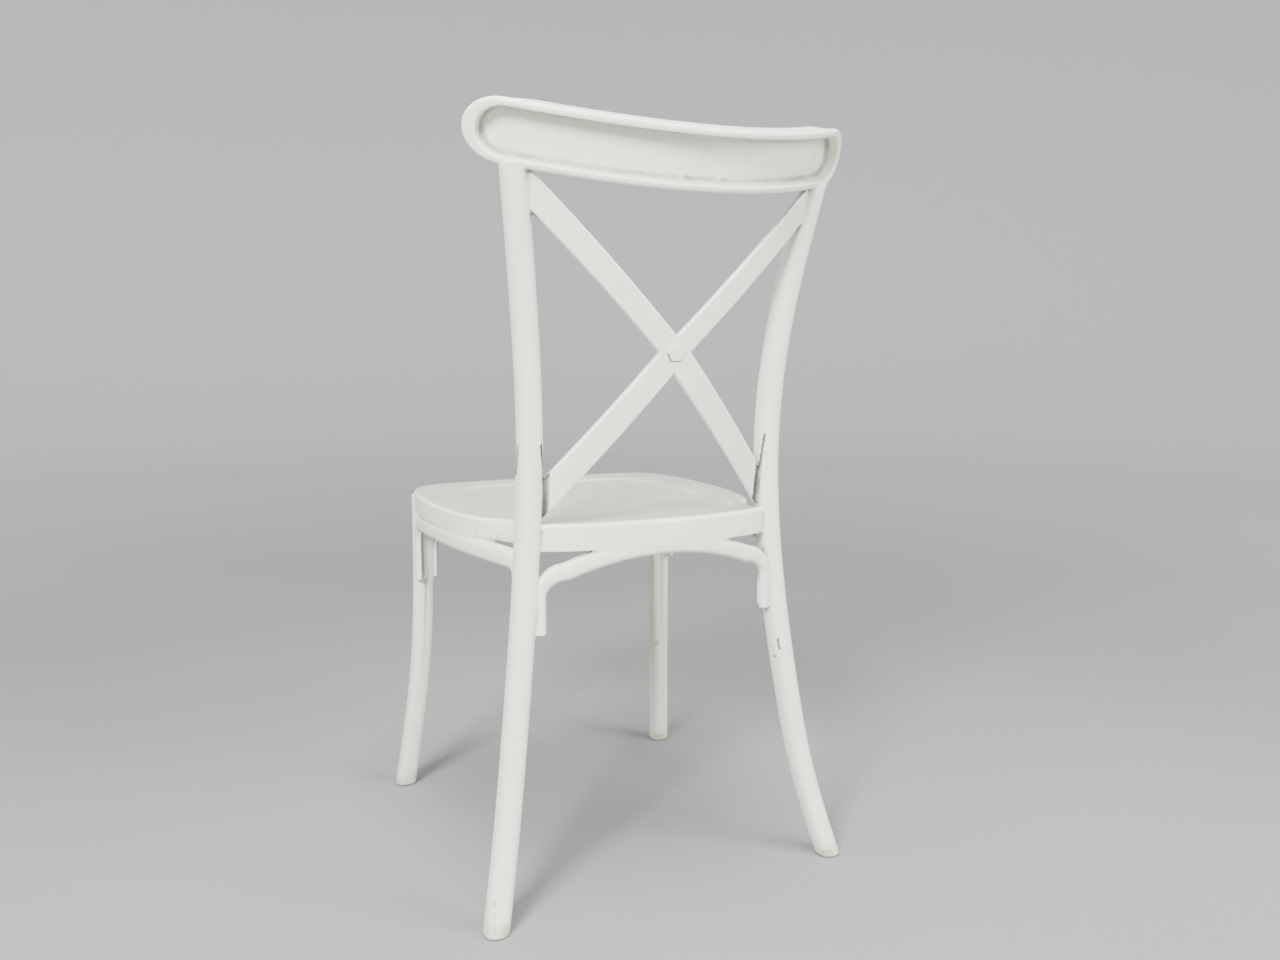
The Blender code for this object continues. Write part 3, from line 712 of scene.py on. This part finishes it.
def crest_loops():
    """(inset, end inset, depth) of the crest's loops, from its recess over to its front."""
    loops = []
    fillet = CREST_RECESS_FILLET
    for i in range(CREST_FILLET_STEPS + 1):
        turn = 0.5 * math.pi * (1.0 - i / CREST_FILLET_STEPS)
        inward = 1.0 - math.cos(turn)
        depth = CREST_RECESS_DEPTH - fillet * (1.0 - math.sin(turn))
        end_inset = CREST_END_RIM + CREST_RECESS_END_FILLET * inward
        loops.append((CREST_RIM + fillet * inward, end_inset, depth))
    inner = CREST_RIM_INNER_ROUNDING
    for i in range(CREST_RIM_STEPS + 1):
        turn = 0.5 * math.pi * i / CREST_RIM_STEPS
        outward = inner * (1.0 - math.cos(turn))
        depth = inner * (1.0 - math.sin(turn))
        loops.append((CREST_RIM - outward, CREST_END_RIM - outward, depth))
    outer = CREST_RIM_ROUNDING
    for i in range(CREST_RIM_STEPS + 1):
        turn = 0.5 * math.pi * (1.0 - i / CREST_RIM_STEPS)
        inset = outer * (1.0 - math.cos(turn))
        loops.append((inset, inset, outer * (1.0 - math.sin(turn))))
    rounding = CREST_FRONT_ROUNDING
    for i in range(CREST_FILLET_STEPS + 1):
        turn = 0.5 * math.pi * i / CREST_FILLET_STEPS
        depth = CREST_THICKNESS - rounding * (1.0 - math.sin(turn))
        inset = rounding * (1.0 - math.cos(turn))
        loops.append((inset, inset, depth))
    return loops


def make_crest():
    """The crest rail, with a rounded rim round a recess that is open to the rear."""
    bm = bmesh.new()
    layers = bridge_rings(bm, [crest_ring(*loop) for loop in crest_loops()])
    half = len(layers[0]) // 2
    for layer in (layers[0], layers[-1]):
        # The two rows of a loop face each other across the height.
        bm.faces.new((layer[0], layer[1], layer[-1]))
        bm.faces.new((layer[half], layer[half + 1], layer[half - 1]))
        for i in range(1, half - 1):
            bm.faces.new((layer[i], layer[i + 1], layer[-i - 1], layer[-i]))
    return add_object("crest", bm)


def brace_point(x, z, forward):
    """A point of the X plate, the given distance forward of its bowed rear face."""
    rise = z - BRACE_CROSSING_Z
    lean = BRACE_LEAN * rise + BRACE_UPPER_CURVE * max(rise, 0.0) ** 2
    return Vector((x, BRACE_CROSSING_Y + lean - BRACE_BOW * x * x - forward, z))


def brace_outline():
    """Edges of the arms of one side as rows of (x, z), from the crossing out to each end."""
    upper_gap = 0.5 * UPPER_ARM_WIDTH * math.hypot(1.0, UPPER_ARM_SLOPE)
    lower_gap = 0.5 * LOWER_ARM_WIDTH * math.hypot(1.0, LOWER_ARM_SLOPE)
    notch_x = (upper_gap + lower_gap) / (UPPER_ARM_SLOPE + LOWER_ARM_SLOPE)
    notch_z = BRACE_CROSSING_Z - upper_gap + UPPER_ARM_SLOPE * notch_x
    upper_end = BRACE_CROSSING_Z + UPPER_ARM_SLOPE * UPPER_ARM_REACH
    upper_row_over = ((0.0, BRACE_CROSSING_Z + upper_gap), (UPPER_ARM_REACH, upper_end + upper_gap))
    upper_row_under = ((notch_x, notch_z), (UPPER_ARM_REACH, upper_end - upper_gap))
    cut_z = BRACE_CROSSING_Z + lower_gap - LOWER_ARM_SLOPE * LOWER_ARM_CUT
    reach_z = BRACE_CROSSING_Z - lower_gap - LOWER_ARM_SLOPE * LOWER_ARM_REACH
    lower_row_over = ((notch_x, notch_z), (LOWER_ARM_CUT, cut_z))
    lower_row_under = ((0.0, BRACE_CROSSING_Z - lower_gap), (LOWER_ARM_REACH, reach_z))
    return (upper_row_over, upper_row_under), (lower_row_over, lower_row_under)


def make_brace():
    """The X plate as one closed solid, its front face a thickness ahead of the rear one."""
    bm = bmesh.new()
    for side in (-1.0, 1.0):
        for first, second in brace_outline():
            for forward in (0.0, BRACE_THICKNESS):
                rows = []
                for start, end in (first, second):
                    row = []
                    for i in range(ARM_STEPS + 1):
                        share = i / ARM_STEPS
                        x = start[0] + (end[0] - start[0]) * share
                        z = start[1] + (end[1] - start[1]) * share
                        row.append(bm.verts.new(brace_point(side * x, z, forward)))
                    rows.append(row)
                for i in range(ARM_STEPS):
                    bm.faces.new((rows[0][i], rows[0][i + 1], rows[1][i + 1], rows[1][i]))
    bmesh.ops.remove_doubles(bm, verts=bm.verts[:], dist=ARM_MERGE_DISTANCE)
    for forward in (0.0, BRACE_THICKNESS):
        corners = []
        (over, _), (_, under) = brace_outline()
        notch = brace_outline()[0][1][0]
        for x, z in (over[0], notch, under[0], (-notch[0], notch[1])):
            target = brace_point(x, z, forward)
            corners.append(min(bm.verts, key=lambda vert: (vert.co - target).length))
        bm.faces.new(corners)
    rim = [edge for edge in bm.edges if edge.is_boundary]
    bmesh.ops.bridge_loops(bm, edges=rim)
    return add_object("brace", bm)


def make_boss():
    """The raised hexagon, square to the plate at the crossing."""
    normal = Vector((0.0, 1.0, -BRACE_LEAN)).normalized()
    up = Vector((0.0, BRACE_LEAN, 1.0)).normalized()
    across = Vector((1.0, 0.0, 0.0))
    centre = brace_point(0.0, BRACE_CROSSING_Z, 0.0)
    rings = []
    for radius, height in (
        (0.5 * BOSS_ACROSS_CORNERS, -BOSS_ROOT),
        (0.5 * BOSS_ACROSS_CORNERS, BOSS_PROUD - BOSS_EDGE),
        (0.5 * BOSS_ACROSS_CORNERS - BOSS_EDGE, BOSS_PROUD),
    ):
        ring = []
        for i in range(BOSS_SIDES):
            turn = 2.0 * math.pi * i / BOSS_SIDES
            spoke = across * math.cos(turn) + up * math.sin(turn)
            ring.append(centre + spoke * radius + normal * height)
        rings.append(ring)
    return loft("hexagon_boss", rings)


def make_members():
    """The members of the moulding, each a closed mesh that runs into its neighbours."""
    members = [make_seat()]
    for side in (-1.0, 1.0):
        members.append(make_leg("rear_leg", side, REAR_LEG_STATIONS, REAR_LEG_WIDTH, REAR_LEG_DEPTH))
        members.append(
            make_leg("front_leg", side, FRONT_LEG_STATIONS, FRONT_LEG_WIDTH, FRONT_LEG_DEPTH)
        )
    members.extend(make_hoops())
    members.append(make_crest())
    members.append(make_brace())
    return members


def coordinates(mesh):
    """The mesh's vertices as rows of x, y and z."""
    flat = np.empty(3 * len(mesh.vertices))
    mesh.vertices.foreach_get("co", flat)
    return flat.reshape(-1, 3)


def evaluated_mesh(obj):
    """The object's mesh with its modifiers applied, as a new mesh."""
    graph = bpy.context.evaluated_depsgraph_get()
    return bpy.data.meshes.new_from_object(obj.evaluated_get(graph))


def fuse(members):
    """One skin round all the members, as a mesh of even small squares."""
    bm = bmesh.new()
    for member in members:
        bm.from_mesh(member.data)
    heap = add_object("members", bm)
    remesh = heap.modifiers.new("fuse", "REMESH")
    remesh.mode = "VOXEL"
    remesh.voxel_size = VOXEL
    mesh = evaluated_mesh(heap)
    bpy.data.objects.remove(heap, do_unlink=True)
    return mesh


def join_nearness(points, members):
    """For each point, 1 where two members meet and 0 from the fillet's reach onwards."""
    nearest = np.full((len(points), 2), FILLET_REACH)
    for member in members:
        own = coordinates(member.data)
        tree = BVHTree.FromPolygons(
            [tuple(row) for row in own], [tuple(face.vertices) for face in member.data.polygons]
        )
        low = own.min(axis=0) - FILLET_REACH
        high = own.max(axis=0) + FILLET_REACH
        close = np.nonzero(((points > low) & (points < high)).all(axis=1))[0]
        for i in close:
            distance = tree.find_nearest(points[i], FILLET_REACH)[3]
            if distance is None:
                continue
            if distance < nearest[i, 0]:
                nearest[i] = (distance, nearest[i, 0])
            elif distance < nearest[i, 1]:
                nearest[i, 1] = distance
    return 1.0 - nearest[:, 1] / FILLET_REACH


def neighbour_mean(points, edges, degree):
    """The mean of each vertex's neighbours."""
    total = np.empty_like(points)
    for axis in range(points.shape[1]):
        column = points[:, axis]
        one_way = np.bincount(edges[:, 0], weights=column[edges[:, 1]], minlength=len(points))
        back = np.bincount(edges[:, 1], weights=column[edges[:, 0]], minlength=len(points))
        total[:, axis] = one_way + back
    return total / degree[:, None]


def mesh_edges(mesh):
    """The mesh's edges as pairs of vertices, and each vertex's number of edges."""
    edges = np.empty(2 * len(mesh.edges), dtype=np.int64)
    mesh.edges.foreach_get("vertices", edges)
    degree = np.bincount(edges, minlength=len(mesh.vertices)).astype(float)
    return edges.reshape(-1, 2), degree


def soften(mesh, members):
    """Smooths the skin a little all over, and much more where members meet."""
    points = coordinates(mesh)
    edges, degree = mesh_edges(mesh)
    nearness = smoothstep(0.0, 1.0, join_nearness(points, members))[:, None]
    for _ in range(FILLET_PASSES):
        points += SMOOTH_STEP * nearness * (neighbour_mean(points, edges, degree) - points)
    press_in(points)
    for _ in range(EVEN_PASSES):
        for step in (SMOOTH_STEP, SMOOTH_BACK):
            points += step * (neighbour_mean(points, edges, degree) - points)
    mesh.vertices.foreach_set("co", points.ravel())
    mesh.update()


def curvature(points, edges, degree, normals):
    """How far each vertex's neighbours stand above its tangent plane, per metre."""
    rise = ((neighbour_mean(points, edges, degree) - points) * normals).sum(axis=1)
    return 4.0 * rise / VOXEL**2


def surface_marks(mesh):
    """The skin's creases, edges and seat top, each as a share from 0 to 1 per vertex."""
    points = coordinates(mesh)
    edges, degree = mesh_edges(mesh)
    normals = np.empty(3 * len(points))
    mesh.vertices.foreach_get("normal", normals)
    normals = normals.reshape(-1, 3)
    bend = curvature(points, edges, degree, normals)[:, None]
    for _ in range(EDGE_PASSES):
        bend = 0.5 * (bend + neighbour_mean(bend, edges, degree))
    edge = smoothstep(EDGE_STARTS, EDGE_FULL, -bend[:, 0])
    for _ in range(CREASE_PASSES):
        bend = 0.5 * (bend + neighbour_mean(bend, edges, degree))
    crease = smoothstep(CREASE_STARTS, CREASE_FULL, bend[:, 0])
    low, high = SEAT_MARK_HEIGHTS
    level = (points[:, 2] > low) & (points[:, 2] < high)
    seat = smoothstep(*SEAT_MARK_UPRIGHT, normals[:, 2]) * level
    return points, {"edge": edge, "crease": crease, "seat": seat}


def store_mark(mesh, name, values):
    """Stores one share per vertex under a name that the material reads."""
    layer = mesh.attributes.new(name, "FLOAT", "POINT")
    layer.data.foreach_set("value", values.astype(np.float32))


def store_marks(mesh, marked_points, marks):
    """Gives every vertex of the mesh the marks of the nearest marked point."""
    tree = KDTree(len(marked_points))
    for i, point in enumerate(marked_points):
        tree.insert(point, i)
    tree.balance()
    nearest = np.array([tree.find(vertex.co)[1] for vertex in mesh.vertices])
    for name, values in marks.items():
        store_mark(mesh, name, values[nearest])


def even_rays():
    """Directions spread evenly over the whole sphere."""
    rays = []
    for i in range(SHELTER_RAYS):
        up = 1.0 - (2.0 * i + 1.0) / SHELTER_RAYS
        level = math.sqrt(1.0 - up * up)
        turn = i * math.pi * (3.0 - math.sqrt(5.0))
        rays.append(Vector((level * math.cos(turn), level * math.sin(turn), up)))
    return rays


# The share stored here darkens the plastic's colour: painted shade in its hollows
def store_shelter(mesh):
    """Stores how much of each vertex's outlook the chair itself blocks close by."""
    tree = BVHTree.FromPolygons(
        [tuple(vertex.co) for vertex in mesh.vertices],
        [tuple(face.vertices) for face in mesh.polygons],
    )
    rays = even_rays()
    shares = np.zeros((len(mesh.vertices), 1))
    for i, vertex in enumerate(mesh.vertices):
        normal = vertex.normal.copy()
        start = vertex.co + normal * SHELTER_LIFT
        outlook = blocked = 0.0
        for ray in rays:
            facing = ray.dot(normal)
            if facing < SHELTER_LEAST_FACING:
                continue
            outlook += facing
            distance = tree.ray_cast(start, ray, SHELTER_REACH)[3]
            if distance is not None:
                blocked += facing * (1.0 - distance / SHELTER_REACH)
        shares[i] = blocked / outlook
    edges, degree = mesh_edges(mesh)
    for _ in range(SHELTER_PASSES):
        shares = 0.5 * (shares + neighbour_mean(shares, edges, degree))
    store_mark(mesh, "shelter", shares[:, 0])


def press_in(points):
    """Sinks the strips at the ends of the lower arms and on the front legs."""
    x = np.abs(points[:, 0])
    z = points[:, 2]
    rise = z - BRACE_CROSSING_Z
    face = BRACE_CROSSING_Y + BRACE_LEAN * rise - BRACE_BOW * x**2
    low, high = ARM_STEP_HEIGHTS
    on_arm = (np.abs(points[:, 1] - face) < VOXEL) & (z > low) & (z < high)
    step = smoothstep(ARM_STEP_X, ARM_STEP_X + ARM_STEP_RUN, x)
    points[:, 1] -= ARM_STEP_DEPTH * step * on_arm

    heights = np.linspace(0.0, LEG_STRIP_TOP, LEG_STRIP_SAMPLES)
    curve = spline_through(FRONT_LEG_STATIONS)
    centres = np.array([curve(height) for height in heights])
    leg_x = np.interp(z, heights, centres[:, 0])
    leg_y = np.interp(z, heights, centres[:, 1])
    behind = points[:, 1] - leg_y
    near = (np.abs(x - leg_x) < FRONT_LEG_WIDTH) & (behind > 0.0) & (behind < FRONT_LEG_DEPTH)
    inner = smoothstep(0.0, LEG_STRIP_RUN, leg_x + LEG_STRIP_OUTER - x)
    fade = smoothstep(*LEG_STRIP_FADES, z) * (z < LEG_STRIP_TOP)
    at_rear = smoothstep(*LEG_STRIP_REACH, behind / FRONT_LEG_DEPTH)
    points[:, 1] -= LEG_STRIP_DEPTH * inner * fade * at_rear * near


def thin_out(obj):
    """Brings the skin under the triangle limit, keeping the curved places finest."""
    triangles = sum(len(face.vertices) - 2 for face in obj.data.polygons)
    decimate = obj.modifiers.new("thin_out", "DECIMATE")
    decimate.ratio = MOST_TRIANGLES / triangles
    mesh = evaluated_mesh(obj)
    obj.modifiers.clear()
    obj.data = mesh


def make_chair():
    """The chair's skin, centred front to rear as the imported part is, and its hexagon."""
    members = make_members()
    reach = np.concatenate([coordinates(member.data)[:, 1] for member in members])
    to_frame = Matrix.Translation((0.0, -0.5 * (reach.min() + reach.max()), 0.0))
    skin = fuse(members)
    soften(skin, members)
    for member in members:
        bpy.data.objects.remove(member, do_unlink=True)
    marked_points, marks = surface_marks(skin)
    chair = bpy.data.objects.new("chair", skin)
    bpy.context.scene.collection.objects.link(chair)
    thin_out(chair)
    store_marks(chair.data, marked_points, marks)
    store_shelter(chair.data)
    boss = make_boss()
    for piece in (chair, boss):
        piece.data.transform(to_frame)
    chair.data.shade_smooth()
    boss.data.shade_flat()
    return chair, boss


class Graph:
    """Short ways to add shader nodes to one material."""

    def __init__(self, name):
        self.material = bpy.data.materials.new(name)
        self.material.use_nodes = True
        self.nodes = self.material.node_tree.nodes
        self.links = self.material.node_tree.links
        self.shader = self.nodes["Principled BSDF"]
        self.place = self.nodes.new("ShaderNodeTexCoord").outputs["Object"]

    def feed(self, socket, value):
        if isinstance(value, bpy.types.NodeSocket):
            self.links.new(value, socket)
        else:
            socket.default_value = value

    def math(self, operation, *values, clamp=False):
        node = self.nodes.new("ShaderNodeMath")
        node.operation = operation
        node.use_clamp = clamp
        for socket, value in zip(node.inputs, values):
            self.feed(socket, value)
        return node.outputs[0]

    def vector(self, operation, first, second):
        node = self.nodes.new("ShaderNodeVectorMath")
        node.operation = operation
        self.feed(node.inputs[0], first)
        self.feed(node.inputs[1], second)
        return node.outputs["Value" if operation in ("LENGTH", "DISTANCE") else "Vector"]

    def noise(self, scale, detail, stretch=(1.0, 1.0, 1.0)):
        node = self.nodes.new("ShaderNodeTexNoise")
        node.inputs["Scale"].default_value = scale
        node.inputs["Detail"].default_value = detail
        self.feed(node.inputs["Vector"], self.vector("MULTIPLY", self.place, stretch))
        return node.outputs["Fac"]

    def fade(self, value, start, end):
        """0 at the start value and 1 at the end value, softly."""
        node = self.nodes.new("ShaderNodeMapRange")
        node.interpolation_type = "SMOOTHSTEP"
        self.feed(node.inputs["Value"], value)
        node.inputs["From Min"].default_value = start
        node.inputs["From Max"].default_value = end
        return node.outputs["Result"]

    def mix(self, share, first, second):
        node = self.nodes.new("ShaderNodeMix")
        node.data_type = "RGBA"
        self.feed(node.inputs["Factor"], share)
        self.feed(node.inputs["A"], first)
        self.feed(node.inputs["B"], second)
        return node.outputs["Result"]

    def attribute(self, name):
        node = self.nodes.new("ShaderNodeAttribute")
        node.attribute_name = name
        return node.outputs["Fac"]

    def height(self):
        node = self.nodes.new("ShaderNodeSeparateXYZ")
        self.feed(node.inputs[0], self.place)
        return node.outputs["Z"]

    def spot(self, centre, size):
        """1 at a place of the chair and 0 outside an oval of the given size, ragged."""
        inverse = tuple(1.0 / reach for reach in size)
        away = self.vector("MULTIPLY", self.vector("SUBTRACT", self.place, centre), inverse)
        ragged = self.math("MULTIPLY", self.noise(SPOT_NOISE_SCALE, 2.0), SPOT_RAGGEDNESS)
        reach = self.math("ADD", self.vector("LENGTH", away, (0.0, 0.0, 0.0)), ragged)
        return self.fade(reach, 1.0 + 0.5 * SPOT_RAGGEDNESS, SPOT_CORE + 0.5 * SPOT_RAGGEDNESS)


def base_colour(g, cloudy):
    """The clean plastic, a little cloudy, streaked along its height, with a painted highlight along
    its edges.
    """
    colour = g.mix(cloudy, PLASTIC_COLOUR, PLASTIC_COLOUR_COOL)
    streaks = g.fade(g.noise(1.0, 4.0, STREAK_STRETCH), *STREAK_BAND)
    colour = g.mix(g.math("MULTIPLY", streaks, STREAK_SHARE), colour, STREAK_COLOUR)
    fine = g.fade(g.noise(FINE_SCALE, 2.0), *FINE_BAND)
    colour = g.mix(g.math("MULTIPLY", fine, FINE_SHARE), colour, STREAK_COLOUR)
    # Painted highlight along the convex edges
    edge = g.math("MULTIPLY", g.attribute("edge"), EDGE_HIGHLIGHT_SHARE, clamp=True)
    return g.mix(edge, colour, EDGE_HIGHLIGHT_COLOUR)


def patched(g, patchy, share, least):
    """The share, patchy between the least part of it and all of it."""
    part = g.math("ADD", least, g.math("MULTIPLY", patchy, 1.0 - least))
    return g.math("MULTIPLY", share, part)


def white_plastic():
    """Satin off-white plastic with faint streaks and worn feet, painted shade in its creases (with
    some grime there), in its hollows and on the seat's top (with some dirt there), painted shadows at
    the soles and round the hexagon, and painted highlights on its edges.
    """
    g = Graph("white_plastic_worn_painted_shade")
    cloudy = g.fade(g.noise(CLOUD_SCALE, 3.0), *CLOUD_BAND)
    patchy = g.fade(g.noise(PATCH_SCALE, 4.0), *PATCH_BAND)
    height = g.height()
    wavy = g.math("MULTIPLY", g.noise(FOOT_WAVE_SCALE, 3.0), FOOT_WAVE_HEIGHT)
    # Painted shade with some grime: darker in the creases
    crease_shade_and_dirt = patched(g, patchy, g.attribute("crease"), CREASE_LEAST)
    # Painted shade: darker where the chair shelters itself close by
    shelter = g.fade(g.attribute("shelter"), *SHELTER_BAND)
    # Painted shade with some dirt: the seat's top darker
    seat_shade = patched(g, patchy, g.attribute("seat"), SEAT_SHADE_LEAST)
    foot = patched(g, patchy, g.fade(g.math("ADD", height, wavy), *FOOT_BAND), FOOT_LEAST)
    # Painted contact shadow along the feet's bottom edges
    sole_shadow = g.fade(height, *SOLE_SHADOW_BAND)

    colour = base_colour(g, cloudy)
    for share, strength, tone in (
        (crease_shade_and_dirt, CREASE_SHARE, SHADE_AND_GRIME_COLOUR),
        (shelter, SHELTER_SHARE, SHADE_AND_GRIME_COLOUR),
        (seat_shade, SEAT_SHADE_SHARE, SEAT_SHADE_AND_DIRT_COLOUR),
        (foot, FOOT_SHARE, FOOT_GRIME_COLOUR),
        (sole_shadow, SOLE_SHADOW_SHARE, SOLE_SHADOW_COLOUR),
        (hexagon_shadow_line(g), BOSS_SHADOW_SHARE, NICK_AND_SHADOW_COLOUR),
    ):
        colour = g.mix(g.math("MULTIPLY", share, strength, clamp=True), colour, tone)
    for centre, size, strength, tone in MARKS:
        colour = g.mix(g.math("MULTIPLY", g.spot(centre, size), strength), colour, tone)
    g.feed(g.shader.inputs["Base Color"], colour)

    rough = g.math("ADD", ROUGHNESS_CLEAN, g.math("MULTIPLY", cloudy, ROUGHNESS_CLOUDY))
    dirty = g.math("MULTIPLY", g.math("MAXIMUM", crease_shade_and_dirt, foot), ROUGHNESS_DIRTY)
    g.feed(g.shader.inputs["Roughness"], g.math("ADD", rough, dirty))

    waves = g.nodes.new("ShaderNodeBump")
    waves.inputs["Strength"].default_value = BUMP_STRENGTH
    waves.inputs["Distance"].default_value = BUMP_DISTANCE
    grain = g.math("MULTIPLY", g.noise(BUMP_GRAIN_SCALE, 2.0), BUMP_GRAIN_SHARE)
    g.feed(waves.inputs["Height"], g.math("ADD", g.noise(BUMP_WAVE_SCALE, 3.0), grain))
    g.feed(g.shader.inputs["Normal"], waves.outputs["Normal"])
    return g.material


def hexagon_shadow_line(g):
    """A painted shadow: the dark line round the hexagon's foot, on its lower left only."""
    parts = g.nodes.new("ShaderNodeSeparateXYZ")
    g.feed(parts.inputs[0], g.vector("SUBTRACT", g.place, BOSS_PLACE))
    across = parts.outputs["X"]
    up = parts.outputs["Z"]
    rise = g.math("MULTIPLY", up, math.sin(BOSS_HALF_TURN))
    reach = g.math("ABSOLUTE", up)
    for sign in (-1.0, 1.0):
        slant = g.math("MULTIPLY", across, sign * math.cos(BOSS_HALF_TURN))
        reach = g.math("MAXIMUM", reach, g.math("ABSOLUTE", g.math("ADD", slant, rise)))
    apothem = 0.5 * BOSS_ACROSS_CORNERS * math.cos(BOSS_HALF_TURN)
    off = g.math("ABSOLUTE", g.math("SUBTRACT", reach, apothem))
    line = g.fade(off, BOSS_LINE_WIDTH, BOSS_LINE_CORE * BOSS_LINE_WIDTH)
    lower_left = g.math("SUBTRACT", g.math("MULTIPLY", across, BOSS_LINE_LEAN), up)
    return g.math("MULTIPLY", line, g.fade(lower_left, *BOSS_LINE_FADES))


def stage_surface():
    """Pale grey, a little uneven, as a painted studio floor is."""
    g = Graph("stage_surface")
    uneven = g.fade(g.noise(STAGE_UNEVEN_SCALE, 4.0), *STAGE_UNEVEN_BAND)
    grain = g.fade(g.noise(STAGE_GRAIN_SCALE, 3.0), *STAGE_GRAIN_BAND)
    share = g.math("ADD", g.math("MULTIPLY", uneven, 0.5), g.math("MULTIPLY", grain, 0.5))
    colour = g.mix(share, STAGE_COLOUR_DARK, STAGE_COLOUR)
    away = g.vector("LENGTH", g.vector("MULTIPLY", g.place, (1.0, 1.0, 0.0)), (0.0, 0.0, 0.0))
    climb = g.math("ADD", g.height(), g.math("MULTIPLY", away, STAGE_RISE_PER_METRE))
    wall = g.fade(climb, *STAGE_BLEND)
    g.feed(g.shader.inputs["Base Color"], g.mix(wall, colour, STAGE_WALL_COLOUR))
    g.shader.inputs["Roughness"].default_value = STAGE_ROUGHNESS
    return g.material


def make_stage():
    """A pale round floor that sweeps up into a wall all round."""
    rows = [(0.5 * STAGE_RADIUS, 0.0), (STAGE_RADIUS, 0.0)]
    for i in range(1, STAGE_SWEEP_STEPS + 1):
        turn = 0.5 * math.pi * i / STAGE_SWEEP_STEPS
        out = STAGE_RADIUS + STAGE_SWEEP * math.sin(turn)
        rows.append((out, STAGE_SWEEP * (1.0 - math.cos(turn))))
    rows.append((STAGE_RADIUS + STAGE_SWEEP, STAGE_WALL_TOP))
    bm = bmesh.new()
    middle = bm.verts.new((0.0, 0.0, 0.0))
    rings = []
    for reach, height in rows:
        ring = []
        for i in range(STAGE_SIDES):
            turn = 2.0 * math.pi * i / STAGE_SIDES
            ring.append((reach * math.cos(turn), reach * math.sin(turn), height))
        rings.append(ring)
    layers = bridge_rings(bm, rings)
    for i in range(STAGE_SIDES):
        bm.faces.new((middle, layers[0][i], layers[0][(i + 1) % STAGE_SIDES]))
    bmesh.ops.recalc_face_normals(bm, faces=bm.faces[:])
    mesh = bpy.data.meshes.new("stage")
    bm.to_mesh(mesh)
    bm.free()
    mesh.shade_smooth()
    mesh.materials.append(stage_surface())
    stage = bpy.data.objects.new("stage", mesh)
    bpy.context.scene.collection.objects.link(stage)
    return stage


def aim(obj, target):
    obj.rotation_euler = (Vector(target) - obj.location).to_track_quat("-Z", "Y").to_euler()


def make_lights():
    """The three soft lights and the even light of the world."""
    for name, place, size, power in LIGHTS:
        data = bpy.data.lights.new(name, "AREA")
        data.energy = power
        data.size = size
        lamp = bpy.data.objects.new(name, data)
        lamp.location = place
        bpy.context.scene.collection.objects.link(lamp)
        aim(lamp, LIGHT_TARGET)
    world = bpy.data.worlds.new("world")
    bpy.context.scene.world = world
    world.use_nodes = True
    world.node_tree.nodes["Background"].inputs["Color"].default_value = WORLD_COLOUR
    world.node_tree.nodes["Background"].inputs["Strength"].default_value = WORLD_STRENGTH


def make_camera():
    data = bpy.data.cameras.new("camera")
    data.sensor_width = SENSOR_WIDTH
    data.lens = SENSOR_WIDTH * FOCAL_PIXELS / PHOTO_WIDTH
    data.clip_start = NEAREST_SEEN
    camera = bpy.data.objects.new("camera", data)
    camera.location = CAMERA_PLACE
    camera.rotation_euler = (0.5 * math.pi - CAMERA_DOWN, 0.0, math.pi - CAMERA_AZIMUTH)
    bpy.context.scene.collection.objects.link(camera)
    bpy.context.scene.camera = camera


def main():
    chair, boss = make_chair()
    plastic = white_plastic()
    for piece in (chair, boss):
        piece.data.materials.clear()
        piece.data.materials.append(plastic)
        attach(piece, "root")
        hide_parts(CHAIR)
    make_stage()
    make_lights()
    make_camera()


main()
